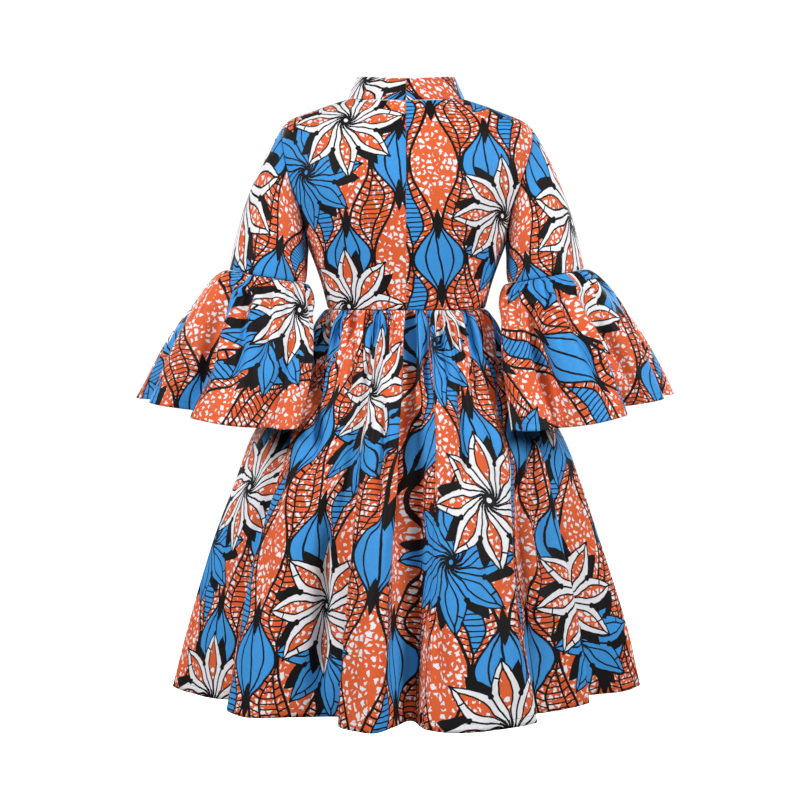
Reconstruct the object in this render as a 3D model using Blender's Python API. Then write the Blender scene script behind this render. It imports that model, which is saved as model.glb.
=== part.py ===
"""Knee-length wax print dress with a stand collar, flounced elbow sleeves and a gathered skirt.

Metres, +Z up. The dress hangs filled out as if worn, with its centre back towards -Y and the
wearer's front towards +Y. The origin is the middle of the neck seam, where the wearer holds it up.
"""

import math

import bmesh
import bpy
import numpy as np

# Driving dimensions.
WALL = 0.0016  # thickness of every cloth wall
SEAM = 0.0003  # gap between two pieces at a seam
SLEEVE_SEAM = 0.0005  # the same at the armhole, where the walls meet at an angle
WAIST_Z = -0.334  # waist seam, below the neck seam
COLLAR_COLUMNS = 8  # columns of cloth in a quarter turn of the bodice and the collar
WAIST_GATHERS = 40  # gather waves round the whole waist
COLUMNS_PER_GATHER = 5
FLOUNCE_GATHERS = 20  # gather waves round one flounce
GATHER_SWELLS = 15  # times round the waist that the gathers grow and shrink
FLOUNCE_SWELLS = 7  # the same round one flounce
SKIRT_SEAM_WAVE = 2.0  # the skirt's back seam lies this many waves right of the zip
SIDE_SEAM_WAVES = (10.0, 30.0)  # right and left side seams
ZIP_HALF_WIDTH = 0.012
ZIP_THICKNESS = 0.0012
ZIP_CLEARANCE = 0.0005
ZIP_FOOT_ROW = 0.04  # the tape ends just above the waist seam, counted in bodice rings
ZIP_COLLAR_ROWS = (0.33, 0.67, 0.93)  # where its rows lie up the collar
ARM_OPENING = math.radians(29.0)  # half turn that the armhole takes out of the torso

# Rings of the bodice from waist to neck: height at left side, right side, back and front, half
# width to the left and right, and reach to the back and front.
BODICE_RINGS = (
    # z_left, z_right, z_back, z_front, left, right, back, front
    (-0.3340, -0.3340, -0.3340, -0.3340, 0.1248, 0.1262, 0.093, 0.098),
    (-0.2880, -0.2880, -0.2890, -0.2920, 0.1370, 0.1390, 0.098, 0.113),
    (-0.2390, -0.2350, -0.2350, -0.2460, 0.1550, 0.1585, 0.106, 0.131),
    (-0.1880, -0.1850, -0.1800, -0.2050, 0.1790, 0.1800, 0.111, 0.134),
    (-0.1380, -0.1380, -0.1300, -0.1700, 0.2070, 0.2060, 0.109, 0.123),
    (-0.0850, -0.0870, -0.0850, -0.1400, 0.2120, 0.2150, 0.101, 0.107),
    (-0.0390, -0.0430, -0.0500, -0.1120, 0.1930, 0.1980, 0.090, 0.090),
    (-0.0170, -0.0180, -0.0260, -0.0890, 0.1440, 0.1460, 0.080, 0.073),
    (0.0000, 0.0000, -0.0080, -0.0700, 0.0944, 0.0944, 0.070, 0.058),
)
UNDERARM_RING = 2.0
TIP_RING = 6.0
# Where the rows of cloth run, counted in rings; the armhole's rows lie between underarm and tip.
BODICE_ROWS = (0.0, 0.5, 1.0, 1.5)
ARMHOLE_ROWS = (2.0, 2.25, 2.7, 3.3, 3.9, 4.5, 5.05, 5.5, 5.82, 6.0)
SHOULDER_ROWS = (6.5, 7.0, 7.5, 8.0)

# Top edge of the collar, by the same columns as a bodice ring.
COLLAR_TOP = (0.0352, 0.0352, 0.0265, -0.0360, 0.0784, 0.0784, 0.066, 0.049)
COLLAR_ROWS = (0.0, 0.33, 0.67, 1.0)
COLLAR_END_GAP = (0.00015, 0.0011)  # half gap at centre back, at the neck and at the top

# Sections of the skirt: drop below the waist, half width left and right, reach back and front,
# share of the hem's folds, height of the gathers.
SKIRT_SECTIONS = (
    # drop, left, right, back, front, fold, gather
    (0.0000, 0.1255, 0.1270, 0.0935, 0.0985, 0.000, 0.0026),
    (0.0070, 0.1310, 0.1330, 0.0995, 0.1045, 0.010, 0.0040),
    (0.0200, 0.1400, 0.1430, 0.1090, 0.1140, 0.040, 0.0046),
    (0.0480, 0.1520, 0.1560, 0.1210, 0.1270, 0.090, 0.0038),
    (0.0900, 0.1760, 0.1800, 0.1370, 0.1440, 0.180, 0.0022),
    (0.1450, 0.2090, 0.2130, 0.1540, 0.1610, 0.290, 0.0000),
    (0.2050, 0.2450, 0.2500, 0.1690, 0.1760, 0.400, 0.0000),
    (0.2770, 0.2715, 0.2775, 0.1840, 0.1920, 0.510, 0.0000),
    (0.3550, 0.3005, 0.3030, 0.1990, 0.2080, 0.630, 0.0000),
    (0.4350, 0.3250, 0.3290, 0.2120, 0.2220, 0.750, 0.0000),
    (0.5150, 0.3470, 0.3530, 0.2240, 0.2350, 0.870, 0.0000),
    (0.6036, 0.3690, 0.3720, 0.2350, 0.2450, 1.000, 0.0000),
)
SKIRT_FINE_ROWS = 5  # rows at full width of columns; below them every second column ends
SKIRT_TURN_EXPONENT = 0.75  # how soon a wave at the waist swings to its place at the hem
# Folds of the skirt's hem, turning left about +Z from the valley at centre back, in metres:
# where each fold starts, its crest, where it ends, and the valley after it.
SKIRT_FOLDS = (
    # start_x, start_y, crest_x, crest_y, end_x, end_y, valley_x, valley_y
    (0.031, -0.246, 0.092, -0.260, 0.191, -0.210, 0.172, -0.168),
    (0.198, -0.160, 0.236, -0.139, 0.281, -0.100, 0.266, -0.066),
    (0.300, -0.051, 0.347, -0.031, 0.377, 0.014, 0.354, 0.045),
    (0.352, 0.078, 0.345, 0.118, 0.300, 0.138, 0.268, 0.128),
    (0.262, 0.170, 0.228, 0.205, 0.180, 0.206, 0.160, 0.182),
    (0.140, 0.224, 0.100, 0.258, 0.052, 0.250, 0.040, 0.208),
    (0.012, 0.238, -0.026, 0.266, -0.072, 0.252, -0.082, 0.212),
    (-0.112, 0.230, -0.150, 0.245, -0.196, 0.214, -0.190, 0.172),
    (-0.232, 0.180, -0.272, 0.168, -0.300, 0.128, -0.285, 0.098),
    (-0.318, 0.112, -0.352, 0.094, -0.362, 0.056, -0.345, 0.034),
    (-0.374, 0.006, -0.349, -0.032, -0.300, -0.074, -0.254, -0.090),
    (-0.272, -0.135, -0.235, -0.182, -0.165, -0.180, -0.088, -0.180),
    (-0.100, -0.226, -0.050, -0.263, -0.016, -0.232, 0.008, -0.199),
)
# Points of that closed hem line whose wave at the waist is known: (point, wave).
SKIRT_ANCHORS = ((-1, 1.0), (0, 2.5), (10, 10.0), (40, 30.0))

# Each sleeve: outer and inner ends of the flounce seam (out from the middle, height).
SLEEVES = {
    # outer_x, outer_z, inner_x, inner_z
    "left": (0.2806, -0.2720, 0.1590, -0.2930),
    "right": (0.2826, -0.2704, 0.1616, -0.2928),
}
CUFF_Y = -0.020
ARM_MIDDLE_X = 0.225  # the arm's middle line, out from the middle of the dress
ARM_MIDDLE_DROP = 0.05  # and how far below an armhole point it is met
CUFF_HALF_DEPTH = 0.057
SLEEVE_ROWS = (0.0, 0.06, 0.15, 0.27, 0.41, 0.56, 0.71, 0.86, 1.0)
SLEEVE_PULL = 0.33  # length of the curve's handles, as a share of the seam to seam distance

# Sections of a flounce: share of the way to the hem, puff beyond the straight line, share of the
# hem's folds, height of the gathers.
FLOUNCE_SECTIONS = (
    # way, puff, fold, gather
    (0.000, 0.0020, 0.00, 0.0020),
    (0.035, 0.0090, 0.03, 0.0032),
    (0.120, 0.0160, 0.10, 0.0034),
    (0.250, 0.0190, 0.24, 0.0016),
    (0.430, 0.0190, 0.44, 0.0000),
    (0.620, 0.0150, 0.64, 0.0000),
    (0.810, 0.0080, 0.83, 0.0000),
    (1.000, 0.0000, 1.00, 0.0000),
)
FLOUNCE_FINE_ROWS = 4
FLOUNCE_COLUMNS_PER_GATHER = 4
# Height of the hem at its middle, its rise outwards and its rise towards the front.
FLOUNCE_HEMS = {"left": (-0.488, 0.135, 0.09), "right": (-0.487, 0.180, 0.09)}
FLOUNCE_MIDDLE = (0.290, -0.055)
FLOUNCE_HALF = (0.128, 0.104)
# Folds of each flounce's hem, from the near side inwards round the skirt and back: as above, with
# x counted outwards from the middle of the dress.
FLOUNCE_FOLDS = {
    "left": (
        (0.326, -0.140, 0.270, -0.168, 0.225, -0.158, 0.205, -0.140),
        (0.190, -0.153, 0.168, -0.151, 0.151, -0.128, 0.172, -0.100),
        (0.185, -0.075, 0.200, -0.035, 0.205, 0.000, 0.225, 0.012),
        (0.228, 0.040, 0.255, 0.062, 0.285, 0.055, 0.298, 0.035),
        (0.320, 0.052, 0.350, 0.058, 0.380, 0.042, 0.385, 0.018),
        (0.415, 0.015, 0.429, -0.010, 0.420, -0.040, 0.395, -0.050),
        (0.398, -0.078, 0.375, -0.098, 0.345, -0.100, 0.314, -0.099),
    ),
    "right": (
        (0.335, -0.142, 0.290, -0.168, 0.250, -0.158, 0.229, -0.138),
        (0.208, -0.156, 0.178, -0.154, 0.150, -0.130, 0.170, -0.100),
        (0.186, -0.072, 0.201, -0.032, 0.206, 0.002, 0.227, 0.014),
        (0.232, 0.043, 0.260, 0.062, 0.290, 0.053, 0.303, 0.032),
        (0.326, 0.050, 0.356, 0.056, 0.384, 0.038, 0.388, 0.014),
        (0.416, 0.012, 0.427, -0.014, 0.416, -0.046, 0.392, -0.055),
        (0.400, -0.080, 0.378, -0.100, 0.350, -0.104, 0.322, -0.100),
    ),
}
SKIRT_CLEARANCE = 0.013  # how far the flounces stay out from the skirt's mean surface
SOFTNESS = 0.05  # width of the turn where a flounce comes to rest against the skirt

CLOTH = {"colour": (0.72, 0.16, 0.06, 1.0), "roughness": 0.72, "metallic": 0.0}
CLOTH_BLUE = {"colour": (0.06, 0.30, 0.72, 1.0), "roughness": 0.72, "metallic": 0.0}
TAPE = {"colour": (0.85, 0.80, 0.76, 1.0), "roughness": 0.6, "metallic": 0.0}


def unit(vectors):
    """Vectors scaled to length one."""
    return vectors / np.maximum(np.linalg.norm(vectors, axis=-1, keepdims=True), 1e-12)


def table_at(table, position, knots=None):
    """A table's columns at a fractional row, on a smooth curve through the rows."""
    rows = np.asarray(table, float)
    knots = np.arange(len(rows), dtype=float) if knots is None else np.asarray(knots, float)
    i = int(np.clip(np.searchsorted(knots, position, side="right") - 1, 0, len(rows) - 2))
    step = knots[i + 1] - knots[i]
    t = (position - knots[i]) / step
    slope = (rows[i + 1] - rows[i]) / step
    before = (rows[i] - rows[i - 1]) / (knots[i] - knots[i - 1]) if i else slope
    after = slope
    if i + 2 < len(rows):
        after = (rows[i + 2] - rows[i + 1]) / (knots[i + 2] - knots[i + 1])
    start = 0.5 * (before + slope)
    end = 0.5 * (slope + after)
    return (
        (2 * t**3 - 3 * t**2 + 1) * rows[i]
        + (t**3 - 2 * t**2 + t) * step * start
        + (3 * t**2 - 2 * t**3) * rows[i + 1]
        + (t**3 - t**2) * step * end
    )


# Bodice and collar ------------------------------------------------------------------------------


def ring_point(ring, turn):
    """Point of a bodice ring. Turn 0 is the right side, -90 degrees the back."""
    z_left, z_right, z_back, z_front, left, right, back, front = ring
    across = math.cos(turn)
    along = math.sin(turn)
    side_z = z_right + (z_left - z_right) * 0.5 * (1 - across)
    middle_z = z_front if along > 0 else z_back
    return np.array(
        (
            across * (right if across > 0 else left),
            along * (front if along > 0 else back),
            side_z + (middle_z - side_z) * along**2,
        )
    )


def bodice_point(turn, row):
    """Outer face of the bodice, with row counted in rings from the waist."""
    return ring_point(table_at(BODICE_RINGS, row), turn)


def bodice_normal(turn, row):
    """Outward normal of the bodice's outer face."""
    step = 1e-3
    top = min(row + step, len(BODICE_RINGS) - 1)
    along = bodice_point(turn + step, row) - bodice_point(turn - step, row)
    up = bodice_point(turn, top) - bodice_point(turn, max(row - step, 0.0))
    normal = np.cross(along, up)
    if row == 0.0:
        normal[2] = 0.0
    return unit(normal)


def arm_turn(row):
    """Half turn that the armhole takes at this row, nothing below the underarm or past the tip."""
    share = (row - UNDERARM_RING) / (TIP_RING - UNDERARM_RING)
    if not 0.0 < share < 1.0:
        return 0.0
    return ARM_OPENING * math.sin(math.pi * share) ** 0.55


def sleeve_start(side, row, facing):
    """Armhole point, the bodice's normal there and the way the sleeve leaves it."""
    sign = 1.0 if side == "right" else -1.0
    turn = facing * arm_turn(row)
    if side == "left":
        turn = math.pi - turn
    point = bodice_point(turn, row)
    normal = bodice_normal(turn, row)
    share = (row - UNDERARM_RING) / (TIP_RING - UNDERARM_RING)
    lift = share**2
    leave = unit(np.array((sign * (0.14 + 0.42 * lift), 0.10 * facing * (1 - lift), -0.80)))
    return point, normal, leave


def shared_direction(first, second):
    """One way through the wall for two pieces that meet, if their faces look the same way."""
    agree = float(np.dot(first, second))
    weight = min(max((agree - 0.1) / 0.5, 0.0), 1.0)
    return unit(first + weight * second)


def armhole_rim(side, row, facing):
    """Ways through the bodice's wall and through the sleeve's wall at an armhole point."""
    point, normal, leave = sleeve_start(side, row, facing)
    step = 1e-3
    ahead = sleeve_start(side, min(row + step, TIP_RING), facing)[0]
    back = sleeve_start(side, max(row - step, UNDERARM_RING), facing)[0]
    sleeve_normal = unit(np.cross(leave, ahead - back))
    arm_x = ARM_MIDDLE_X if side == "right" else -ARM_MIDDLE_X
    middle = np.array((arm_x, CUFF_Y, point[2] - ARM_MIDDLE_DROP))
    if np.dot(sleeve_normal, point - middle) < 0:
        sleeve_normal = -sleeve_normal
    return shared_direction(normal, sleeve_normal), shared_direction(sleeve_normal, normal)


def bodice_panel(start, stop, columns, edges):
    """Outer and inner points of a bodice panel between two turns. A side edge follows the armhole."""
    outer_rows = []
    inner_rows = []
    for row in BODICE_ROWS + ARMHOLE_ROWS + SHOULDER_ROWS:
        turns = [start, stop]
        for end, edge in enumerate(edges):
            if edge == "side":
                inward = 1.0 if end == 0 else -1.0
                turns[end] += inward * arm_turn(row)
        outer = []
        inner = []
        for column in range(columns + 1):
            turn = turns[0] + (turns[1] - turns[0]) * column / columns
            point = bodice_point(turn, row)
            normal = bodice_normal(turn, row)
            end = 0 if column == 0 else 1 if column == columns else None
            if end is not None:
                step = 1e-3 if end == 0 else -1e-3
                point = point + unit(bodice_point(turn + step, row) - point) * SEAM / 2
            if end is not None and edges[end] == "side" and arm_turn(row) > 0:
                side = "right" if math.cos(turn) > 0 else "left"
                facing = 1.0 if math.sin(turn) > 0 else -1.0
                normal = armhole_rim(side, row, facing)[0]
            if row == 0.0:
                point[2] += SEAM / 2
            outer.append(point)
            inner.append(point - normal * WALL)
        outer_rows.append(outer)
        inner_rows.append(inner)
    return outer_rows, inner_rows


def collar_walls():
    """Outer and inner points of the collar, from one centre-back end round the front to the other."""
    base = BODICE_RINGS[-1]
    outer_rows = []
    inner_rows = []
    columns = 4 * COLLAR_COLUMNS
    for share in COLLAR_ROWS:
        ring = [low + (high - low) * share for low, high in zip(base, COLLAR_TOP)]
        gap = COLLAR_END_GAP[0] + (COLLAR_END_GAP[1] - COLLAR_END_GAP[0]) * share**2
        outer = []
        inner = []
        for column in range(columns + 1):
            turn = -math.pi / 2 + 2 * math.pi * column / columns
            point = ring_point(ring, turn)
            point[2] += SEAM * (1 - share)
            ahead = ring_point(ring, turn + 1e-3) - ring_point(ring, turn - 1e-3)
            normal = unit(np.array((ahead[1], -ahead[0], 0.0)))
            if column in (0, columns):
                point[0] += gap if column == 0 else -gap
            outer.append(point)
            inner.append(point - normal * WALL)
        outer_rows.append(outer)
        inner_rows.append(inner)
    return outer_rows, inner_rows


def zip_walls():
    """The zip's tape, the inner face of bodice and collar at centre back moved in."""
    outer_rows = []
    inner_rows = []
    first_turn = math.pi / 2 / COLLAR_COLUMNS
    base = BODICE_RINGS[-1]
    rows = [("bodice", row) for row in BODICE_ROWS[1:] + ARMHOLE_ROWS + SHOULDER_ROWS]
    rows = [("bodice", ZIP_FOOT_ROW)] + rows + [("collar", share) for share in ZIP_COLLAR_ROWS]
    for kind, row in rows:
        outer = []
        for side in (-1.0, 0.0, 1.0):
            turn = -math.pi / 2 + side * first_turn
            if kind == "bodice":
                centre = bodice_point(-math.pi / 2, row)
                beside = bodice_point(turn, row)
                inward = -bodice_normal(-math.pi / 2, row)
            else:
                ring = [low + (high - low) * row for low, high in zip(base, COLLAR_TOP)]
                centre = ring_point(ring, -math.pi / 2)
                beside = ring_point(ring, turn)
                inward = np.array((0.0, 1.0, 0.0))
            reach = abs(beside[0] - centre[0])
            share = ZIP_HALF_WIDTH / reach if side else 0.0
            point = centre + (beside - centre) * share
            outer.append(point + inward * (WALL + ZIP_CLEARANCE))
        outer_rows.append(outer)
        inner_rows.append([point + inward * ZIP_THICKNESS for point in outer])
    return outer_rows, inner_rows


# Folded hems ------------------------------------------------------------------------------------


class Hem:
    """A closed folded line, read by wave number. It knows the smooth line that its folds leave."""

    def __init__(self, folds, waves, anchors, samples=2400):
        points = np.asarray(folds, float).reshape(-1, 2)
        count = len(points)
        dense = []
        per_span = 40
        for i in range(count):
            before, here, after, last = (points[(i + k) % count] for k in (-1, 0, 1, 2))
            for j in range(per_span):
                t = j / per_span
                dense.append(
                    0.5
                    * (
                        2 * here
                        + (after - before) * t
                        + (2 * before - 5 * here + 4 * after - last) * t**2
                        + (3 * here - before - 3 * after + last) * t**3
                    )
                )
        dense = np.array(dense)
        closed = np.vstack((dense, dense[:1]))
        run = np.concatenate(([0.0], np.cumsum(np.linalg.norm(np.diff(closed, axis=0), axis=1))))
        total = run[-1]
        runs = []
        numbers = []
        for index, wave in anchors:
            runs.append(run[(index % count) * per_span] - (total if index < 0 else 0.0))
            numbers.append(wave)
        runs.append(runs[0] + total)
        numbers.append(numbers[0] + waves)
        self.waves = waves
        self.wave = np.linspace(0.0, waves, samples, endpoint=False)
        wanted = np.interp((self.wave - numbers[0]) % waves + numbers[0], numbers, runs) % total
        self.x = np.interp(wanted, run, closed[:, 0])
        self.y = np.interp(wanted, run, closed[:, 1])

    def point(self, wave):
        wave = wave % self.waves
        return np.array(
            (
                np.interp(wave, self.wave, self.x, period=self.waves),
                np.interp(wave, self.wave, self.y, period=self.waves),
            )
        )

    def smooth_turns(self, middle, width):
        """Turn about the middle at each sample, evened out over a width given in waves."""
        turn = np.unwrap(np.arctan2(self.y - middle[1], self.x - middle[0]))
        sweep = turn[-1] - turn[0]
        whole = 2 * math.pi * (1 if sweep > 0 else -1)
        spread = int(len(self.wave) * width / self.waves)
        tiled = np.concatenate((turn - whole, turn, turn + whole))
        window = np.hanning(2 * spread + 1)
        window /= window.sum()
        even = np.convolve(tiled, window, mode="same")
        return even[len(turn) : 2 * len(turn)]


# Skirt ------------------------------------------------------------------------------------------


SKIRT_HEM = Hem(SKIRT_FOLDS, WAIST_GATHERS, SKIRT_ANCHORS)
SKIRT_TURNS = SKIRT_HEM.smooth_turns((0.0, 0.0), 2.6)
SKIRT_DROPS = [row[0] for row in SKIRT_SECTIONS]


def oval(left, right, back, front, turn):
    """Point of an oval with four different reaches."""
    across = math.cos(turn)
    along = math.sin(turn)
    return np.array(
        (across * (right if across > 0 else left), along * (front if along > 0 else back))
    )


def hem_turn(wave):
    """Turn of the hem's smooth oval at a wave, as the oval's own parameter."""
    whole = 2 * math.pi
    turns = np.append(SKIRT_TURNS, SKIRT_TURNS[0] + whole)
    waves = np.append(SKIRT_HEM.wave, WAIST_GATHERS)
    laps = math.floor(wave / WAIST_GATHERS)
    turn = np.interp(wave - laps * WAIST_GATHERS, waves, turns) + laps * whole
    left, right, back, front = SKIRT_SECTIONS[-1][1:5]
    across = math.cos(turn) / (right if math.cos(turn) > 0 else left)
    along = math.sin(turn) / (front if math.sin(turn) > 0 else back)
    own = math.atan2(along, across)
    return own + whole * round((turn - own) / whole)


def waist_turn(wave):
    """Turn of the waist's oval at a wave, the waves lying evenly along the seam."""
    samples = np.linspace(0, 2 * math.pi, 721) - math.pi / 2
    left, right, back, front = SKIRT_SECTIONS[0][1:5]
    points = np.array([oval(left, right, back, front, turn) for turn in samples])
    run = np.concatenate(([0.0], np.cumsum(np.linalg.norm(np.diff(points, axis=0), axis=1))))
    laps = math.floor(wave / WAIST_GATHERS)
    share = wave / WAIST_GATHERS - laps
    return float(np.interp(share * run[-1], run, samples)) + laps * 2 * math.pi


def skirt_section(drop):
    """Left, right, back, front, fold and gather at a drop below the waist."""
    return table_at(SKIRT_SECTIONS, drop, SKIRT_DROPS)[1:]


def skirt_point(wave, drop):
    """Outer face of the skirt at a wave and a drop below the waist, as (x, y)."""
    left, right, back, front, fold, gather = skirt_section(drop)
    share = (drop / SKIRT_DROPS[-1]) ** SKIRT_TURN_EXPONENT
    low_turn = hem_turn(wave)
    turn = waist_turn(wave) * (1 - share) + low_turn * share
    base = oval(left, right, back, front, turn)
    low = oval(*SKIRT_SECTIONS[-1][1:5], low_turn)
    folded = SKIRT_HEM.point(wave) - low
    outward = unit(np.array((math.cos(turn) / right, math.sin(turn) / back)))
    wobble = 0.75 + 0.25 * math.sin(2 * math.pi * GATHER_SWELLS * wave / WAIST_GATHERS + 0.7)
    ripple = gather * wobble * math.cos(2 * math.pi * wave)
    return base + fold * folded + outward * ripple


def skirt_panel(start, stop):
    """Outer and inner points of a skirt panel between two waves."""
    outer_rows = []
    inner_rows = []
    columns = round((stop - start) * COLUMNS_PER_GATHER)
    for number, drop in enumerate(SKIRT_DROPS):
        count = columns if number < SKIRT_FINE_ROWS else columns // 2
        outer = []
        inner = []
        for column in range(count + 1):
            wave = start + (stop - start) * column / count
            step = 0.02
            here = skirt_point(wave, drop)
            ahead = skirt_point(wave + step, drop)
            behind = skirt_point(wave - step, drop)
            along = unit(ahead - behind)
            if column == 0:
                here = here + along * SEAM / 2
            if column == count:
                here = here - along * SEAM / 2
            height = WAIST_Z - drop - (SEAM / 2 if number == 0 else 0.0)
            outer.append(np.array((here[0], here[1], height)))
            inner.append(np.array((here[0] - along[1] * WALL, here[1] + along[0] * WALL, height)))
        outer_rows.append(outer)
        inner_rows.append(inner)
    return outer_rows, inner_rows


# Sleeves and flounces ---------------------------------------------------------------------------


def cuff(side):
    """Middle of the flounce seam, its way outwards and its half width; x counts to the right."""
    sign = 1.0 if side == "right" else -1.0
    outer_x, outer_z, inner_x, inner_z = SLEEVES[side]
    outer = np.array((sign * outer_x, CUFF_Y, outer_z))
    inner = np.array((sign * inner_x, CUFF_Y, inner_z))
    return (outer + inner) / 2, unit(outer - inner), np.linalg.norm(outer - inner) / 2


def cuff_axis(side):
    """The way the sleeve points at the flounce seam."""
    outward = cuff(side)[1]
    axis = np.cross(outward, (0.0, 1.0, 0.0))
    return axis if axis[2] < 0 else -axis


def cuff_point(side, turn):
    """Point of the flounce seam. Turn 0 is inside, then the back, then outside."""
    middle, outward, half = cuff(side)
    depth = np.array((0.0, -CUFF_HALF_DEPTH * math.sin(turn), 0.0))
    return middle - outward * half * math.cos(turn) + depth


def armhole_loop(side):
    """Armhole places as (row, facing), from the underarm up the back and down the front."""
    up = [(row, -1.0) for row in ARMHOLE_ROWS]
    down = [(row, 1.0) for row in reversed(ARMHOLE_ROWS[1:-1])]
    return up + down


def sleeve_turns(side):
    """Turn of the flounce seam that each armhole place leads to, by its run along the armhole."""
    loop = armhole_loop(side)
    points = [sleeve_start(side, row, facing)[0] for row, facing in loop]
    points.append(points[0])
    steps = [np.linalg.norm(b - a) for a, b in zip(points, points[1:])]
    run = np.concatenate(([0.0], np.cumsum(steps)))
    top = len(ARMHOLE_ROWS) - 1
    turns = []
    for i in range(len(loop)):
        if i <= top:
            turns.append(math.pi * run[i] / run[top])
        else:
            turns.append(math.pi + math.pi * (run[i] - run[top]) / (run[-1] - run[top]))
    return turns


def sleeve_walls(side):
    """Outer and inner points of a sleeve, closed round, from the armhole to the flounce seam."""
    loop = armhole_loop(side)
    turns = sleeve_turns(side)
    axis = cuff_axis(side)
    curves = []
    rims = []
    for (row, facing), turn in zip(loop, turns):
        start, normal, leave = sleeve_start(side, row, facing)
        start = start + unit(leave + normal) * SLEEVE_SEAM
        end = cuff_point(side, turn)
        pull = SLEEVE_PULL * np.linalg.norm(end - start)
        end = end - axis * SEAM / 2
        curves.append((start, start + leave * pull, end - axis * pull, end))
        rims.append(armhole_rim(side, row, facing)[1])
    outer_rows = []
    for t in SLEEVE_ROWS:
        weights = ((1 - t) ** 3, 3 * t * (1 - t) ** 2, 3 * t**2 * (1 - t), t**3)
        outer_rows.append([sum(w * p for w, p in zip(weights, curve)) for curve in curves])
    inner_rows = []
    for number, outer in enumerate(outer_rows):
        inner = []
        ring_middle = np.mean(outer, axis=0)
        for i, point in enumerate(outer):
            around = outer[(i + 1) % len(outer)] - outer[i - 1]
            if number == len(outer_rows) - 1:
                down = axis
            else:
                above = outer_rows[max(number - 1, 0)][i]
                down = outer_rows[number + 1][i] - above
            normal = unit(np.cross(around, down))
            if np.dot(normal, point - ring_middle) < 0:
                normal = -normal
            if number == 0:
                normal = rims[i]
            inner.append(point - normal * WALL)
        inner_rows.append(inner)
    return outer_rows, inner_rows


FLOUNCE_LINES = {
    side: Hem(FLOUNCE_FOLDS[side], FLOUNCE_GATHERS, ((0, 0.0),)) for side in FLOUNCE_FOLDS
}
FLOUNCE_TURNS = {
    side: FLOUNCE_LINES[side].smooth_turns(FLOUNCE_MIDDLE, 2.2) for side in FLOUNCE_FOLDS
}


def clear_of_skirt(point):
    """The point moved out from the skirt's axis until it lies outside the skirt."""
    drop = min(max(WAIST_Z - point[2], 0.0), SKIRT_DROPS[-1])
    left, right, back, front = skirt_section(drop)[:4]
    half = (right if point[0] > 0 else left) + SKIRT_CLEARANCE
    deep = (front if point[1] > 0 else back) + SKIRT_CLEARANCE
    reach = math.hypot(point[0] / half, point[1] / deep)
    if point[2] > WAIST_Z or reach > 1 + 8 * SOFTNESS:
        return point
    wanted = 1 + SOFTNESS * math.log(1 + math.exp((reach - 1) / SOFTNESS))
    scale = wanted / max(reach, 1e-6)
    return np.array((point[0] * scale, point[1] * scale, point[2]))


def flounce_point(side, wave, number):
    """Outer face of a flounce at a gather wave and a section."""
    sign = 1.0 if side == "right" else -1.0
    way, puff, fold, gather = FLOUNCE_SECTIONS[number]
    line = FLOUNCE_LINES[side]
    turns = FLOUNCE_TURNS[side]
    lap = 2 * math.pi * (1 if turns[-1] > turns[0] else -1)
    waves = np.append(line.wave, FLOUNCE_GATHERS)
    turn = float(np.interp(wave % FLOUNCE_GATHERS, waves, np.append(turns, turns[0] + lap)))
    smooth = np.array(
        (
            FLOUNCE_MIDDLE[0] + FLOUNCE_HALF[0] * math.cos(turn),
            FLOUNCE_MIDDLE[1] + FLOUNCE_HALF[1] * math.sin(turn),
        )
    )
    folded = line.point(wave) - smooth
    height, rise_out, rise_front = FLOUNCE_HEMS[side]

    def lifted(plan):
        rise = rise_out * (plan[0] - FLOUNCE_MIDDLE[0]) + rise_front * plan[1]
        return np.array((sign * plan[0], plan[1], height + rise))

    top = cuff_point(side, turn + math.pi)
    low = lifted(smooth)
    middle = cuff(side)[0] * (1 - way) + lifted(np.array(FLOUNCE_MIDDLE)) * way
    point = top * (1 - way) + low * way
    outward = unit(np.array((point[0] - middle[0], point[1] - middle[1], 0.0)))
    outward = outward - cuff_axis(side) * np.dot(outward, cuff_axis(side)) * (1 - way)
    wobble = 0.8 + 0.2 * math.sin(2 * math.pi * FLOUNCE_SWELLS * wave / FLOUNCE_GATHERS + 0.4)
    ripple = gather * wobble * math.cos(2 * math.pi * wave)
    point = point + outward * (puff + ripple)
    point = point + np.array((sign * folded[0], folded[1], 0.0)) * fold
    if number == 0:
        return point + cuff_axis(side) * SEAM / 2
    return clear_of_skirt(point)


def flounce_walls(side):
    """Outer and inner points of a flounce, closed round, from its seam to its hem."""
    outer_rows = []
    inner_rows = []
    columns = FLOUNCE_GATHERS * FLOUNCE_COLUMNS_PER_GATHER
    axis = cuff_axis(side)
    for number in range(len(FLOUNCE_SECTIONS)):
        count = columns if number < FLOUNCE_FINE_ROWS else columns // 2
        waves = [FLOUNCE_GATHERS * column / count for column in range(count)]
        outer = [flounce_point(side, wave, number) for wave in waves]
        area = sum(a[0] * b[1] - b[0] * a[1] for a, b in zip(outer, outer[1:] + outer[:1]))
        inner = []
        for wave, point in zip(waves, outer):
            along = flounce_point(side, wave + 0.03, number) - flounce_point(side, wave - 0.03, number)
            normal = unit(np.cross(along, -axis)) * (1.0 if area > 0 else -1.0)
            inner.append(point - normal * WALL)
        outer_rows.append(outer)
        inner_rows.append(inner)
    return outer_rows, inner_rows


# Walls into objects -----------------------------------------------------------------------------


def split_square(corners):
    """A four-sided face as two triangles, along its shorter diagonal."""
    first, second, third, fourth = corners
    if (first.co - third.co).length <= (second.co - fourth.co).length:
        return [(first, second, third), (first, third, fourth)]
    return [(first, second, fourth), (second, third, fourth)]


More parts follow.
